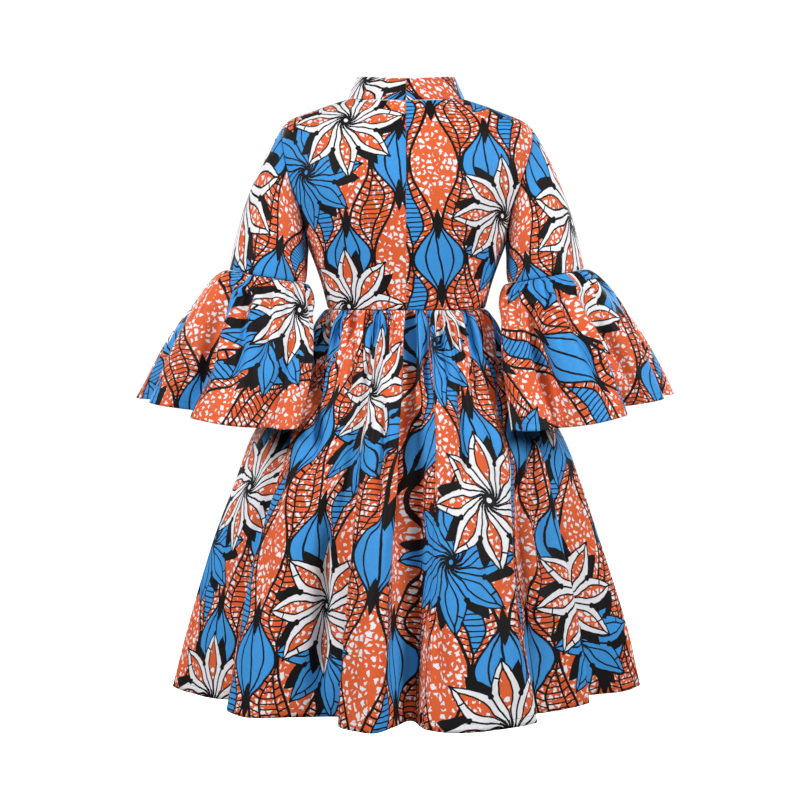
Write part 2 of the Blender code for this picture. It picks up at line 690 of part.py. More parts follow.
def strip_faces(upper, lower, closed):
    """Faces between two rows of vertices; the lower row may have half the columns."""
    faces = []
    halved = len(lower) < len(upper)
    spans = len(lower) if closed else len(lower) - 1
    for k in range(spans):
        right = (k + 1) % len(lower)
        if not halved:
            faces += split_square((upper[k], lower[k], lower[right], upper[right]))
            continue
        first, middle = upper[2 * k], upper[2 * k + 1]
        last = upper[(2 * k + 2) % len(upper)]
        faces.append((first, lower[k], middle))
        faces.append((middle, lower[k], lower[right]))
        faces.append((middle, lower[right], last))
    return faces


def wall_object(name, outer_rows, inner_rows, closed, look, collection):
    """One closed solid between an outer face and the same face moved in by the wall."""
    mesh = bpy.data.meshes.new(name)
    work = bmesh.new()
    outer = [[work.verts.new(point) for point in row] for row in outer_rows]
    inner = [[work.verts.new(point) for point in row] for row in inner_rows]
    for skin, turned in ((outer, False), (inner, True)):
        for upper, lower in zip(skin, skin[1:]):
            for face in strip_faces(upper, lower, closed):
                work.faces.new(tuple(reversed(face)) if turned else face)
    for end in (0, -1):
        loop = list(zip(outer[end], inner[end]))
        pairs = list(zip(loop, loop[1:] + (loop[:1] if closed else [])))
        for (out_a, in_a), (out_b, in_b) in pairs:
            work.faces.new((out_a, out_b, in_b, in_a))
    if not closed:
        for end in (0, -1):
            for i in range(len(outer) - 1):
                corners = (outer[i][end], outer[i + 1][end], inner[i + 1][end], inner[i][end])
                work.faces.new(corners)
    bmesh.ops.recalc_face_normals(work, faces=work.faces)
    if work.calc_volume(signed=True) < 0:
        bmesh.ops.reverse_faces(work, faces=work.faces)
    work.to_mesh(mesh)
    work.free()
    mesh.shade_smooth()
    mesh.set_sharp_from_angle(angle=math.radians(50))
    obj = bpy.data.objects.new(name, mesh)
    obj.data.materials.append(cloth_material(name, look))
    collection.objects.link(obj)
    return obj


def cloth_material(name, look):
    """A material of the piece's own."""
    material = bpy.data.materials.new(name)
    material.use_nodes = True
    shader = material.node_tree.nodes["Principled BSDF"]
    shader.inputs["Base Color"].default_value = look["colour"]
    shader.inputs["Roughness"].default_value = look["roughness"]
    shader.inputs["Metallic"].default_value = look["metallic"]
    return material


def main():
    for obj in list(bpy.data.objects):
        bpy.data.objects.remove(obj, do_unlink=True)
    collection = bpy.data.collections.new("wax_print_dress")
    bpy.context.scene.collection.children.link(collection)

    quarter = math.pi / 2
    panels = {
        "back_bodice_right": (-quarter, 0.0, COLLAR_COLUMNS, ("seam", "side")),
        "front_bodice": (0.0, math.pi, 2 * COLLAR_COLUMNS, ("side", "side")),
        "back_bodice_left": (math.pi, 3 * quarter, COLLAR_COLUMNS, ("side", "seam")),
    }
    for name, (start, stop, columns, edges) in panels.items():
        outer, inner = bodice_panel(start, stop, columns, edges)
        wall_object(name, outer, inner, False, CLOTH, collection)
    outer, inner = collar_walls()
    wall_object("stand_collar", outer, inner, False, CLOTH_BLUE, collection)
    outer, inner = zip_walls()
    wall_object("zip", outer, inner, False, TAPE, collection)

    right_seam, left_seam = SIDE_SEAM_WAVES
    skirts = {
        "skirt_back_right": (SKIRT_SEAM_WAVE, right_seam),
        "skirt_front": (right_seam, left_seam),
        "skirt_back_left": (left_seam, WAIST_GATHERS + SKIRT_SEAM_WAVE),
    }
    for name, (start, stop) in skirts.items():
        outer, inner = skirt_panel(start, stop)
        wall_object(name, outer, inner, False, CLOTH_BLUE, collection)

    for side in SLEEVES:
        outer, inner = sleeve_walls(side)
        wall_object("sleeve_" + side, outer, inner, True, CLOTH_BLUE, collection)
        outer, inner = flounce_walls(side)
        wall_object("flounce_" + side, outer, inner, True, CLOTH, collection)


main()
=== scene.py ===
"""Wax print dress: finely gathered cloth panels, printed cotton, hidden zip and a plain stage.

Metres, +Z up. The centre back faces -Y and the origin is the middle of the neck seam.
"""

import math

import bpy
import numpy as np
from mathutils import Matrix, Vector


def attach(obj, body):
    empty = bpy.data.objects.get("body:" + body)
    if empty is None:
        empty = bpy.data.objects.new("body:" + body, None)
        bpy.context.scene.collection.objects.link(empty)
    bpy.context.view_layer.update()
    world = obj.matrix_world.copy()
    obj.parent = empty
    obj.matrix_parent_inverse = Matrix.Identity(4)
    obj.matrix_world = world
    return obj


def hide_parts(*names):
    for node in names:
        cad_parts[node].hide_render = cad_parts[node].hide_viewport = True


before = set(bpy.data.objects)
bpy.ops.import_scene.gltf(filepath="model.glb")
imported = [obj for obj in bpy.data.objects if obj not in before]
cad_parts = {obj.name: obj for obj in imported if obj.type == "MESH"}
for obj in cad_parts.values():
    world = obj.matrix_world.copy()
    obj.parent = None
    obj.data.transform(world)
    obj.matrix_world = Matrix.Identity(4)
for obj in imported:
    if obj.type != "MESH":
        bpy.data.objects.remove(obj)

bl_info = {
    "name": "Wax print dress",
    "version": (1, 0, 0),
    "blender": (4, 5, 0),
    "location": "View3D > Sidebar > Dress",
    "description": "Builds a knee-length wax print dress with flounced sleeves",
    "category": "Object",
}

# Form of the dress. These tables repeat the solids' own, with deeper gathers near the seams.
SEAM = 0.0003
SLEEVE_SEAM = 0.0005
WAIST_Z = -0.334
WAIST_GATHERS = 40
FLOUNCE_GATHERS = 20
SKIRT_SEAM_WAVE = 2.0
SIDE_SEAM_WAVES = (10.0, 30.0)
ARM_OPENING = math.radians(29.0)
UNDERARM_RING = 2.0
TIP_RING = 6.0
ARMHOLE_FULLNESS = 0.55  # lower is fuller
BODICE_RINGS = (
    # z_left, z_right, z_back, z_front, left, right, back, front
    (-0.3340, -0.3340, -0.3340, -0.3340, 0.1248, 0.1262, 0.093, 0.098),
    (-0.2880, -0.2880, -0.2890, -0.2920, 0.1370, 0.1390, 0.098, 0.113),
    (-0.2390, -0.2350, -0.2350, -0.2460, 0.1550, 0.1585, 0.106, 0.131),
    (-0.1880, -0.1850, -0.1800, -0.2050, 0.1790, 0.1800, 0.111, 0.134),
    (-0.1380, -0.1380, -0.1300, -0.1700, 0.2070, 0.2060, 0.109, 0.123),
    (-0.0850, -0.0870, -0.0850, -0.1400, 0.2120, 0.2150, 0.101, 0.107),
    (-0.0390, -0.0430, -0.0500, -0.1120, 0.1930, 0.1980, 0.090, 0.090),
    (-0.0170, -0.0180, -0.0260, -0.0890, 0.1440, 0.1460, 0.080, 0.073),
    (0.0000, 0.0000, -0.0080, -0.0700, 0.0944, 0.0944, 0.070, 0.058),
)
COLLAR_TOP = (0.0352, 0.0352, 0.0265, -0.0360, 0.0784, 0.0784, 0.066, 0.049)
COLLAR_END_GAP = (0.00015, 0.0011)
SKIRT_SECTIONS = (
    # drop, left, right, back, front, fold, gather
    (0.0000, 0.1255, 0.1270, 0.0935, 0.0985, 0.000, 0.0030),
    (0.0070, 0.1310, 0.1330, 0.0995, 0.1045, 0.010, 0.0048),
    (0.0200, 0.1400, 0.1430, 0.1090, 0.1140, 0.040, 0.0056),
    (0.0480, 0.1520, 0.1560, 0.1210, 0.1270, 0.090, 0.0048),
    (0.0900, 0.1760, 0.1800, 0.1370, 0.1440, 0.180, 0.0038),
    (0.1450, 0.2090, 0.2130, 0.1540, 0.1610, 0.290, 0.0023),
    (0.2050, 0.2450, 0.2500, 0.1690, 0.1760, 0.400, 0.0011),
    (0.2770, 0.2715, 0.2775, 0.1840, 0.1920, 0.510, 0.0000),
    (0.3550, 0.3005, 0.3030, 0.1990, 0.2080, 0.630, 0.0000),
    (0.4350, 0.3250, 0.3290, 0.2120, 0.2220, 0.750, 0.0000),
    (0.5150, 0.3470, 0.3530, 0.2240, 0.2350, 0.870, 0.0000),
    (0.6036, 0.3690, 0.3720, 0.2350, 0.2450, 1.000, 0.0000),
)
SKIRT_TURN_EXPONENT = 0.75
SKIRT_FOLDS = (
    # start_x, start_y, crest_x, crest_y, end_x, end_y, valley_x, valley_y
    (0.031, -0.246, 0.092, -0.260, 0.191, -0.210, 0.172, -0.168),
    (0.198, -0.160, 0.236, -0.139, 0.281, -0.100, 0.266, -0.066),
    (0.300, -0.051, 0.347, -0.031, 0.377, 0.014, 0.354, 0.045),
    (0.352, 0.078, 0.345, 0.118, 0.300, 0.138, 0.268, 0.128),
    (0.262, 0.170, 0.228, 0.205, 0.180, 0.206, 0.160, 0.182),
    (0.140, 0.224, 0.100, 0.258, 0.052, 0.250, 0.040, 0.208),
    (0.012, 0.238, -0.026, 0.266, -0.072, 0.252, -0.082, 0.212),
    (-0.112, 0.230, -0.150, 0.245, -0.196, 0.214, -0.190, 0.172),
    (-0.232, 0.180, -0.272, 0.168, -0.300, 0.128, -0.285, 0.098),
    (-0.318, 0.112, -0.352, 0.094, -0.362, 0.056, -0.345, 0.034),
    (-0.374, 0.006, -0.349, -0.032, -0.300, -0.074, -0.254, -0.090),
    (-0.272, -0.135, -0.235, -0.182, -0.165, -0.180, -0.088, -0.180),
    (-0.100, -0.226, -0.050, -0.263, -0.016, -0.232, 0.008, -0.199),
)
SKIRT_ANCHORS = ((-1, 1.0), (0, 2.5), (10, 10.0), (40, 30.0))  # fold point, gather wave
SKIRT_EVENING = 2.6  # gather waves over which the folds' own turning is evened out
SLEEVES = {
    # outer_x, outer_z, inner_x, inner_z
    "left": (0.2806, -0.2720, 0.1590, -0.2930),
    "right": (0.2826, -0.2704, 0.1616, -0.2928),
}
CUFF_Y = -0.020
CUFF_HALF_DEPTH = 0.057
SLEEVE_PULL = 0.33  # how far it keeps its first way, in shares of its length
SLEEVE_OUT = (0.14, 0.42)  # how far outwards it leaves the underarm, and how much more the shoulder
SLEEVE_APART = 0.10  # how far its back and front leave each other
SLEEVE_DOWN = 0.80
FLOUNCE_SECTIONS = (
    # way, puff, fold, gather
    (0.000, 0.0020, 0.00, 0.0020),
    (0.035, 0.0090, 0.03, 0.0034),
    (0.120, 0.0160, 0.10, 0.0044),
    (0.250, 0.0190, 0.24, 0.0030),
    (0.430, 0.0190, 0.44, 0.0014),
    (0.620, 0.0150, 0.64, 0.0000),
    (0.810, 0.0080, 0.83, 0.0000),
    (1.000, 0.0000, 1.00, 0.0000),
)
FLOUNCE_HEMS = {"left": (-0.488, 0.135, 0.09), "right": (-0.487, 0.180, 0.09)}
FLOUNCE_MIDDLE = (0.290, -0.055)
FLOUNCE_HALF = (0.128, 0.104)
FLOUNCE_EVENING = 2.2
FLOUNCE_HELD = 0.02  # share of it by the seam that isn't moved clear of the skirt
GATHER_SEEDS = {"skirt": 1.9, "left": 0.8, "right": 2.7}
FLOUNCE_FOLDS = {
    "left": (
        (0.326, -0.140, 0.270, -0.168, 0.225, -0.158, 0.205, -0.140),
        (0.190, -0.153, 0.168, -0.151, 0.151, -0.128, 0.172, -0.100),
        (0.185, -0.075, 0.200, -0.035, 0.205, 0.000, 0.225, 0.012),
        (0.228, 0.040, 0.255, 0.062, 0.285, 0.055, 0.298, 0.035),
        (0.320, 0.052, 0.350, 0.058, 0.380, 0.042, 0.385, 0.018),
        (0.415, 0.015, 0.429, -0.010, 0.420, -0.040, 0.395, -0.050),
        (0.398, -0.078, 0.375, -0.098, 0.345, -0.100, 0.314, -0.099),
    ),
    "right": (
        (0.335, -0.142, 0.290, -0.168, 0.250, -0.158, 0.229, -0.138),
        (0.208, -0.156, 0.178, -0.154, 0.150, -0.130, 0.170, -0.100),
        (0.186, -0.072, 0.201, -0.032, 0.206, 0.002, 0.227, 0.014),
        (0.232, 0.043, 0.260, 0.062, 0.290, 0.053, 0.303, 0.032),
        (0.326, 0.050, 0.356, 0.056, 0.384, 0.038, 0.388, 0.014),
        (0.416, 0.012, 0.427, -0.014, 0.416, -0.046, 0.392, -0.055),
        (0.400, -0.080, 0.378, -0.100, 0.350, -0.104, 0.322, -0.100),
    ),
}
SKIRT_CLEARANCE = 0.013
SOFTNESS = 0.05  # how softly that clearance takes hold

# How each panel lies flat, which places its print.
SKIRT_CLOTH = (0.0470, 0.0590)  # cloth to one gather wave, at the waist and at the hem
SKIRT_PRINT_DROP = 0.885  # how far the print runs down the skirt for each length of its surface
SKIRT_TUCK = 0.070  # cloth hidden in the deep fold of the right back panel
SKIRT_TUCK_WAVE = 5.7  # gather wave at which that fold lies
SKIRT_TUCK_WIDTH = 0.2  # in gather waves
SKIRT_TUCK_DROPS = (0.12, 0.20)  # drop at which the fold starts, and how far until it hides it all
FLOUNCE_INNER = 0.19  # radius of the part circle each flounce is cut from, at its seam
FLOUNCE_SWEEP = 2.45  # and its sweep
BODICE_GRAIN = 0.35  # share of a bodice column's own length in its print, the rest being the middle's
COLLAR_SLANT = np.array((-0.051, 0.033))  # how far the print moves across the collar's curved cut
COLLAR_SLANT_SHARES = (0.3, 0.4)  # share of the collar at which that starts, and how long it takes
COLLAR_MIDDLE = 60  # column from which the collar's flat rows are measured
COLLAR_STITCHES = 0.0022  # how far they lie below its top edge
LEAN_SPAN = (8, 14)  # rows and columns to each side over which the print's turn is measured

# The cloth's grids. The sizes of pieces are rounded, as they only say how far apart points lie.
EDGE_STEPS = (0.0, 0.0006, 0.0013, 0.0022, 0.0034, 0.0052)  # distances of rows next to a seam
BODICE_REACH = 0.135  # from its axis
BODICE_RING_GAP = 0.046
BODICE_ROWS = (20, 46, 16)  # below, beside and above the armhole
COLLAR_SIZE = (0.52, 0.034)
COLLAR_COUNTS = (120, 10)
SKIRT_WAVE_WIDTH = 0.0175  # of one gather at the waist seam
SKIRT_SEAM_SHARE = 0.2  # waves from a side seam to the first even column
SKIRT_ROWS = ((0.005, 0.06, 22), (0.06, 0.6036, 82))  # first drop, last drop, count
SLEEVE_LENGTH = 0.2
SLEEVE_COUNTS = (44, 96)
FLOUNCE_LENGTH = 0.22
FLOUNCE_ROWS = (0.024, 1.0, 60)  # first way, last way, count

# Creases: start and end point, depth (in is negative), half width.
CREASE_BOW = 0.10  # how far a crease sags, in shares of its length
CREASES = (
    ((-0.205, -0.075, -0.215), (-0.090, -0.125, -0.250), -0.0022, 0.0080),
    ((-0.200, -0.070, -0.240), (-0.110, -0.115, -0.290), 0.0016, 0.0090),
    ((0.205, -0.075, -0.210), (0.100, -0.125, -0.262), -0.0020, 0.0085),
    ((0.198, -0.072, -0.245), (0.120, -0.112, -0.300), 0.0016, 0.0090),
    ((-0.180, 0.075, -0.215), (-0.080, 0.130, -0.235), -0.0024, 0.0090),
    ((0.180, 0.075, -0.215), (0.085, 0.130, -0.245), -0.0024, 0.0090),
    ((-0.150, 0.085, -0.270), (-0.070, 0.112, -0.318), -0.0018, 0.0085),
    ((0.150, 0.085, -0.270), (0.080, 0.112, -0.322), -0.0018, 0.0085),
    ((0.195, -0.060, -0.165), (0.262, -0.070, -0.225), -0.0030, 0.0110),
    ((0.200, -0.070, -0.205), (0.255, -0.075, -0.262), 0.0022, 0.0100),
    ((-0.195, -0.060, -0.160), (-0.262, -0.070, -0.222), -0.0030, 0.0110),
    ((-0.200, -0.070, -0.200), (-0.252, -0.075, -0.262), 0.0022, 0.0100),
    ((0.200, 0.035, -0.170), (0.255, 0.030, -0.235), -0.0028, 0.0110),
    ((-0.200, 0.035, -0.170), (-0.255, 0.030, -0.235), -0.0028, 0.0110),
)
SEAM_SINK = (0.0011, 0.0021)  # how deep stitches draw a seam in, and how far that reaches
PUCKER_GAP = 0.0074  # width of the puckers under a gathered seam
PUCKER_DEPTH = 0.0011
PUCKER_START = 0.003  # how far below the seam they are deepest
PUCKER_LENGTH = 0.022  # how soon they fade below that
RIPPLE_GAPS = (0.027, 0.046, 0.160)  # width of fine and broad ripples and of the patches they fill
RIPPLE_DEPTHS = {"bodice": 0.0005, "sleeve": 0.0009, "skirt": 0.0016, "flounce": 0.0024}
RIPPLE_EDGE = 0.014  # how near a seam the ripples fade

FLOUNCE_SEAM_Z = -0.285
FURROW_START = 0.007  # how far below its top a furrow at the seam reaches its full depth
FURROW_SLOWNESS = 0.35  # how much further that is for each length it starts below the seam
FURROW_FADE = 0.40  # share of its length over which it runs out
FURROW_SWAY = 0.002
FURROW_SLOPE = 0.6  # how steep its outer side is beside its inner side
FURROW_EDGE = 0.05  # how far from the dress's middle plane it is at its full depth
FURROW_REACH = 0.055  # how far to each side its swallowed cloth is made up for
FURROW_CLOTH = 1.5  # cloth swallowed for each length of its depth

# Furrows down the back of the skirt and of each flounce: top and bottom (x, z), depth, half width.
# The front has them too, the skirt's as a mirror image.
SKIRT_FURROWS = (
    ((0.002, -0.334), (0.004, -0.780), -0.0220, 0.0066),
    ((0.009, -0.460), (-0.018, -0.975), -0.0230, 0.0105),
    ((0.031, -0.334), (0.031, -0.520), -0.0085, 0.0036),
    ((0.052, -0.334), (0.060, -0.470), -0.0080, 0.0034),
    ((0.083, -0.440), (0.086, -0.640), -0.0110, 0.0060),
    ((0.096, -0.334), (0.108, -0.480), -0.0100, 0.0040),
    ((0.120, -0.334), (0.128, -0.430), -0.0080, 0.0034),
    ((0.145, -0.334), (0.158, -0.580), -0.0170, 0.0062),
    ((0.166, -0.540), (0.190, -0.960), -0.0180, 0.0105),
    ((0.190, -0.480), (0.212, -0.800), -0.0120, 0.0070),
    ((0.045, -0.700), (0.047, -0.940), -0.0060, 0.0060),
    ((-0.018, -0.334), (-0.020, -0.420), -0.0070, 0.0030),
    ((-0.034, -0.450), (-0.040, -0.680), -0.0110, 0.0056),
    ((-0.052, -0.334), (-0.058, -0.470), -0.0080, 0.0034),
    ((-0.078, -0.334), (-0.086, -0.500), -0.0090, 0.0038),
    ((-0.100, -0.334), (-0.112, -0.440), -0.0080, 0.0034),
    ((-0.126, -0.334), (-0.142, -0.600), -0.0150, 0.0062),
    ((-0.112, -0.600), (-0.124, -0.950), -0.0190, 0.0100),
    ((-0.182, -0.480), (-0.216, -0.780), -0.0120, 0.0075),
)
FLOUNCE_FURROWS = {
    "left": (
        ((-0.238, -0.300), (-0.268, -0.490), -0.0140, 0.0080),
        ((-0.205, -0.300), (-0.212, -0.450), -0.0090, 0.0060),
        ((-0.270, -0.290), (-0.322, -0.500), -0.0110, 0.0080),
    ),
    "right": (
        ((0.233, -0.300), (0.318, -0.495), -0.0130, 0.0085),
        ((0.187, -0.320), (0.226, -0.510), -0.0130, 0.0080),
        ((0.262, -0.300), (0.362, -0.480), -0.0100, 0.0075),
    ),
}


# Form ------------------------------------------------------------------------------------------


def unit(vectors):
    """Vectors scaled to length one."""
    return vectors / np.maximum(np.linalg.norm(vectors, axis=-1, keepdims=True), 1e-12)


def ease(share):
    """A share from 0 to 1, eased at both ends."""
    return share * share * (3 - 2 * share)


def run_along(points):
    """Distance run at each point of a line."""
    return np.concatenate(([0.0], np.cumsum(np.linalg.norm(np.diff(points, axis=0), axis=1))))


def table_at(table, position, knots=None):
    """A table's columns at fractional rows, on a smooth curve through the rows."""
    rows = np.asarray(table, float)
    knots = np.arange(len(rows), dtype=float) if knots is None else np.asarray(knots, float)
    position = np.asarray(position, float)
    i = np.clip(np.searchsorted(knots, position, side="right") - 1, 0, len(rows) - 2)
    slopes = np.diff(rows, axis=0) / np.diff(knots)[:, None]
    step = (knots[i + 1] - knots[i])[..., None]
    t = (position - knots[i])[..., None] / step
    before = slopes[np.maximum(i - 1, 0)]
    after = slopes[np.minimum(i + 1, len(slopes) - 1)]
    start = 0.5 * (before + slopes[i])
    end = 0.5 * (slopes[i] + after)
    return (
        (2 * t**3 - 3 * t**2 + 1) * rows[i]
        + (t**3 - 2 * t**2 + t) * step * start
        + (3 * t**2 - 2 * t**3) * rows[i + 1]
        + (t**3 - t**2) * step * end
    )


def oval(left, right, back, front, turn):
    """Points of an oval with four different reaches."""
    across = np.cos(turn)
    along = np.sin(turn)
    x = across * np.where(across > 0, right, left)
    y = along * np.where(along > 0, front, back)
    return np.stack(np.broadcast_arrays(x, y), axis=-1)


def ring_point(ring, turn):
    """Points of bodice rings. Turn 0 is the right side, -90 degrees the back."""
    z_left, z_right, z_back, z_front, *reaches = np.moveaxis(np.asarray(ring), -1, 0)
    along = np.sin(turn)
    side_z = z_right + (z_left - z_right) * 0.5 * (1 - np.cos(turn))
    middle_z = np.where(along > 0, z_front, z_back)
    z = side_z + (middle_z - side_z) * along**2
    return np.concatenate((oval(*reaches, turn), z[..., None]), axis=-1)


def collar_ring(share):
    """The collar's ring at shares of its height."""
    base = np.array(BODICE_RINGS[-1])
    return base + (np.array(COLLAR_TOP) - base) * share


def bodice_point(turn, row):
    """Outer face of the bodice, with row counted in rings from the waist."""
    return ring_point(table_at(BODICE_RINGS, row), turn)


def bodice_normal(turn, row):
    """Outward normal of the bodice's outer face."""
    step = 1e-3
    top = np.minimum(row + step, len(BODICE_RINGS) - 1)
    along = bodice_point(turn + step, row) - bodice_point(turn - step, row)
    up = bodice_point(turn, top) - bodice_point(turn, np.maximum(row - step, 0.0))
    return unit(np.cross(along, up))


def arm_turn(row):
    """Half turn that the armhole takes at each row."""
    share = np.clip((row - UNDERARM_RING) / (TIP_RING - UNDERARM_RING), 0.0, 1.0)
    return ARM_OPENING * np.sin(math.pi * share) ** ARMHOLE_FULLNESS


class Hem:
    """A closed folded line, read by wave number. It knows the smooth line that its folds leave."""

    def __init__(self, folds, waves, anchors, samples=2400):
        points = np.asarray(folds, float).reshape(-1, 2)
        count = len(points)
        per_span = 40
        t = (np.arange(per_span) / per_span)[None, :, None]
        before, here, after, last = (np.roll(points, -k, axis=0)[:, None, :] for k in (-1, 0, 1, 2))
        dense = 0.5 * (
            2 * here
            + (after - before) * t
            + (2 * before - 5 * here + 4 * after - last) * t**2
            + (3 * here - before - 3 * after + last) * t**3
        )
        dense = dense.reshape(-1, 2)
        closed = np.vstack((dense, dense[:1]))
        run = run_along(closed)
        total = run[-1]
        runs = [run[(i % count) * per_span] - (total if i < 0 else 0.0) for i, _ in anchors]
        numbers = [wave for _, wave in anchors]
        runs.append(runs[0] + total)
        numbers.append(numbers[0] + waves)
        self.waves = waves
        self.wave = np.linspace(0.0, waves, samples, endpoint=False)
        wanted = np.interp((self.wave - numbers[0]) % waves + numbers[0], numbers, runs) % total
        self.x = np.interp(wanted, run, closed[:, 0])
        self.y = np.interp(wanted, run, closed[:, 1])

    def point(self, wave):
        wave = wave % self.waves
        x = np.interp(wave, self.wave, self.x, period=self.waves)
        y = np.interp(wave, self.wave, self.y, period=self.waves)
        return np.stack((x, y), axis=-1)

    def smooth_turns(self, middle, width):
        """Turn about the middle at each sample, evened out over a width given in waves."""
        turn = np.unwrap(np.arctan2(self.y - middle[1], self.x - middle[0]))
        whole = 2 * math.pi * (1 if turn[-1] > turn[0] else -1)
        spread = int(len(self.wave) * width / self.waves)
        tiled = np.concatenate((turn - whole, turn, turn + whole))
        window = np.hanning(2 * spread + 1)
        even = np.convolve(tiled, window / window.sum(), mode="same")
        return even[len(turn) : 2 * len(turn)]

    def turn_at(self, wave, turns):
        """Smoothed turn at any wave, growing from lap to lap."""
        whole = 2 * math.pi * (1 if turns[-1] > turns[0] else -1)
        laps = np.floor(wave / self.waves)
        known = np.append(turns, turns[0] + whole)
        return np.interp(wave - laps * self.waves, np.append(self.wave, self.waves), known) + laps * whole


SKIRT_HEM = Hem(SKIRT_FOLDS, WAIST_GATHERS, SKIRT_ANCHORS)
SKIRT_TURNS = SKIRT_HEM.smooth_turns((0.0, 0.0), SKIRT_EVENING)
SKIRT_DROPS = [row[0] for row in SKIRT_SECTIONS]


def hem_turn(wave):
    """Turn of the hem's smooth oval at each wave, as the oval's own parameter."""
    turn = SKIRT_HEM.turn_at(wave, SKIRT_TURNS)
    left, right, back, front = SKIRT_SECTIONS[-1][1:5]
    across = np.cos(turn) / np.where(np.cos(turn) > 0, right, left)
    along = np.sin(turn) / np.where(np.sin(turn) > 0, front, back)
    own = np.arctan2(along, across)
    return own + 2 * math.pi * np.round((turn - own) / (2 * math.pi))


def waist_turn(wave):
    """Turn of the waist's oval at each wave, the waves lying evenly along the seam."""
    samples = np.linspace(0, 2 * math.pi, 721) - math.pi / 2
    points = oval(*SKIRT_SECTIONS[0][1:5], samples)
    run = run_along(points)
    laps = np.floor(wave / WAIST_GATHERS)
    share = wave / WAIST_GATHERS - laps
    return np.interp(share * run[-1], run, samples) + laps * 2 * math.pi


def gather_profile(wave, count, seed):
    """Height of uneven gathers: round crests, narrow valleys, no two alike. Reads from -1 to 1."""
    lap = 2 * math.pi * wave / count
    shifted = wave + 0.16 * np.sin(7 * lap + seed) + 0.10 * np.sin(13 * lap + 2.1 * seed)
    ridge = np.sqrt(np.cos(math.pi * shifted) ** 2 + 0.02)
    height = 0.80 + 0.24 * np.sin(15 * lap + 0.7) + 0.16 * np.sin(9 * lap + 1.3 * seed)
    return height * (2.0 * ridge - 1.25)


def skirt_point(wave, drop):
    """Outer face of the skirt at waves and drops below the waist, as (x, y)."""
    sections = table_at(SKIRT_SECTIONS, drop, SKIRT_DROPS)
    left, right, back, front, fold, gather = np.moveaxis(sections[..., 1:], -1, 0)
    share = (drop / SKIRT_DROPS[-1]) ** SKIRT_TURN_EXPONENT
    low_turn = hem_turn(wave)
    turn = waist_turn(wave) * (1 - share) + low_turn * share
    base = oval(left, right, back, front, turn)
    low = oval(*SKIRT_SECTIONS[-1][1:5], low_turn)
    folded = SKIRT_HEM.point(wave) - low
    outward = unit(np.stack((np.cos(turn) / right, np.sin(turn) / back), axis=-1))
    ripple = gather * gather_profile(wave, WAIST_GATHERS, GATHER_SEEDS["skirt"])
    return base + fold[..., None] * folded + outward * ripple[..., None]


def cuff(side):
    """Middle of the flounce seam, its way outwards and its half width; x counts to the right."""
    sign = 1.0 if side == "right" else -1.0
    outer_x, outer_z, inner_x, inner_z = SLEEVES[side]
    outer = np.array((sign * outer_x, CUFF_Y, outer_z))
    inner = np.array((sign * inner_x, CUFF_Y, inner_z))
    return (outer + inner) / 2, unit(outer - inner), np.linalg.norm(outer - inner) / 2


def cuff_axis(side):
    """The way the sleeve points at the flounce seam."""
    axis = np.cross(cuff(side)[1], (0.0, 1.0, 0.0))
    return axis if axis[2] < 0 else -axis


def cuff_point(side, turn):
    """Points of the flounce seam. Turn 0 is inside, then the back, then outside."""
    middle, outward, half = cuff(side)
    across = outward * (half * np.cos(turn))[..., None]
    depth = np.array((0.0, 1.0, 0.0)) * (CUFF_HALF_DEPTH * np.sin(turn))[..., None]
    return middle - across - depth


def sleeve_start(side, row, facing):
    """Armhole points, the bodice's normal there and the way the sleeve leaves it."""
    sign = 1.0 if side == "right" else -1.0
    turn = facing * arm_turn(row)
    if side == "left":
        turn = math.pi - turn
    share = (row - UNDERARM_RING) / (TIP_RING - UNDERARM_RING)
    lift = share**2
    out = sign * (SLEEVE_OUT[0] + SLEEVE_OUT[1] * lift)
    apart = SLEEVE_APART * facing * (1 - lift)
    leave = np.stack((out, apart, np.full_like(lift, -SLEEVE_DOWN)), axis=-1)
    return bodice_point(turn, row), bodice_normal(turn, row), unit(leave)


def sleeve_grid(side, rows, columns):
    """Points of a sleeve, closed round, from the armhole down to the flounce seam."""
    half = spread_rows(UNDERARM_RING, TIP_RING, columns // 2)
    row = np.concatenate((half, half[::-1][1:]))
    facing = np.concatenate((np.full(len(half), -1.0), np.full(len(half) - 1, 1.0)))
    start, normal, leave = sleeve_start(side, row, facing)
    run = run_along(start)
    top = len(half) - 1
    turn = np.where(
        np.arange(len(row)) <= top,
        math.pi * run / run[top],
        math.pi + math.pi * (run - run[top]) / (run[-1] - run[top]),
    )
    start = start + unit(leave + normal) * SLEEVE_SEAM
    end = cuff_point(side, turn)
    pull = SLEEVE_PULL * np.linalg.norm(end - start, axis=1, keepdims=True)
    axis = cuff_axis(side)
    end = end - axis * SEAM / 2
    curve = (start, start + leave * pull, end - axis * pull, end)
    t = rows[:, None, None]
    weights = ((1 - t) ** 3, 3 * t * (1 - t) ** 2, 3 * t**2 * (1 - t), t**3)
    return sum(weight * point[None] for weight, point in zip(weights, curve))


def spread_rows(low, high, count):
    """Positions from low to high, closer together near both ends."""
    share = np.linspace(0.0, 1.0, count + 1)
    eased = 0.5 - 0.5 * np.cos(math.pi * share)
    return low + (high - low) * (0.45 * share + 0.55 * eased)


FLOUNCE_LINES = {
    side: Hem(folds, FLOUNCE_GATHERS, ((0, 0.0),)) for side, folds in FLOUNCE_FOLDS.items()
}
FLOUNCE_TURNS = {
    side: line.smooth_turns(FLOUNCE_MIDDLE, FLOUNCE_EVENING) for side, line in FLOUNCE_LINES.items()
}


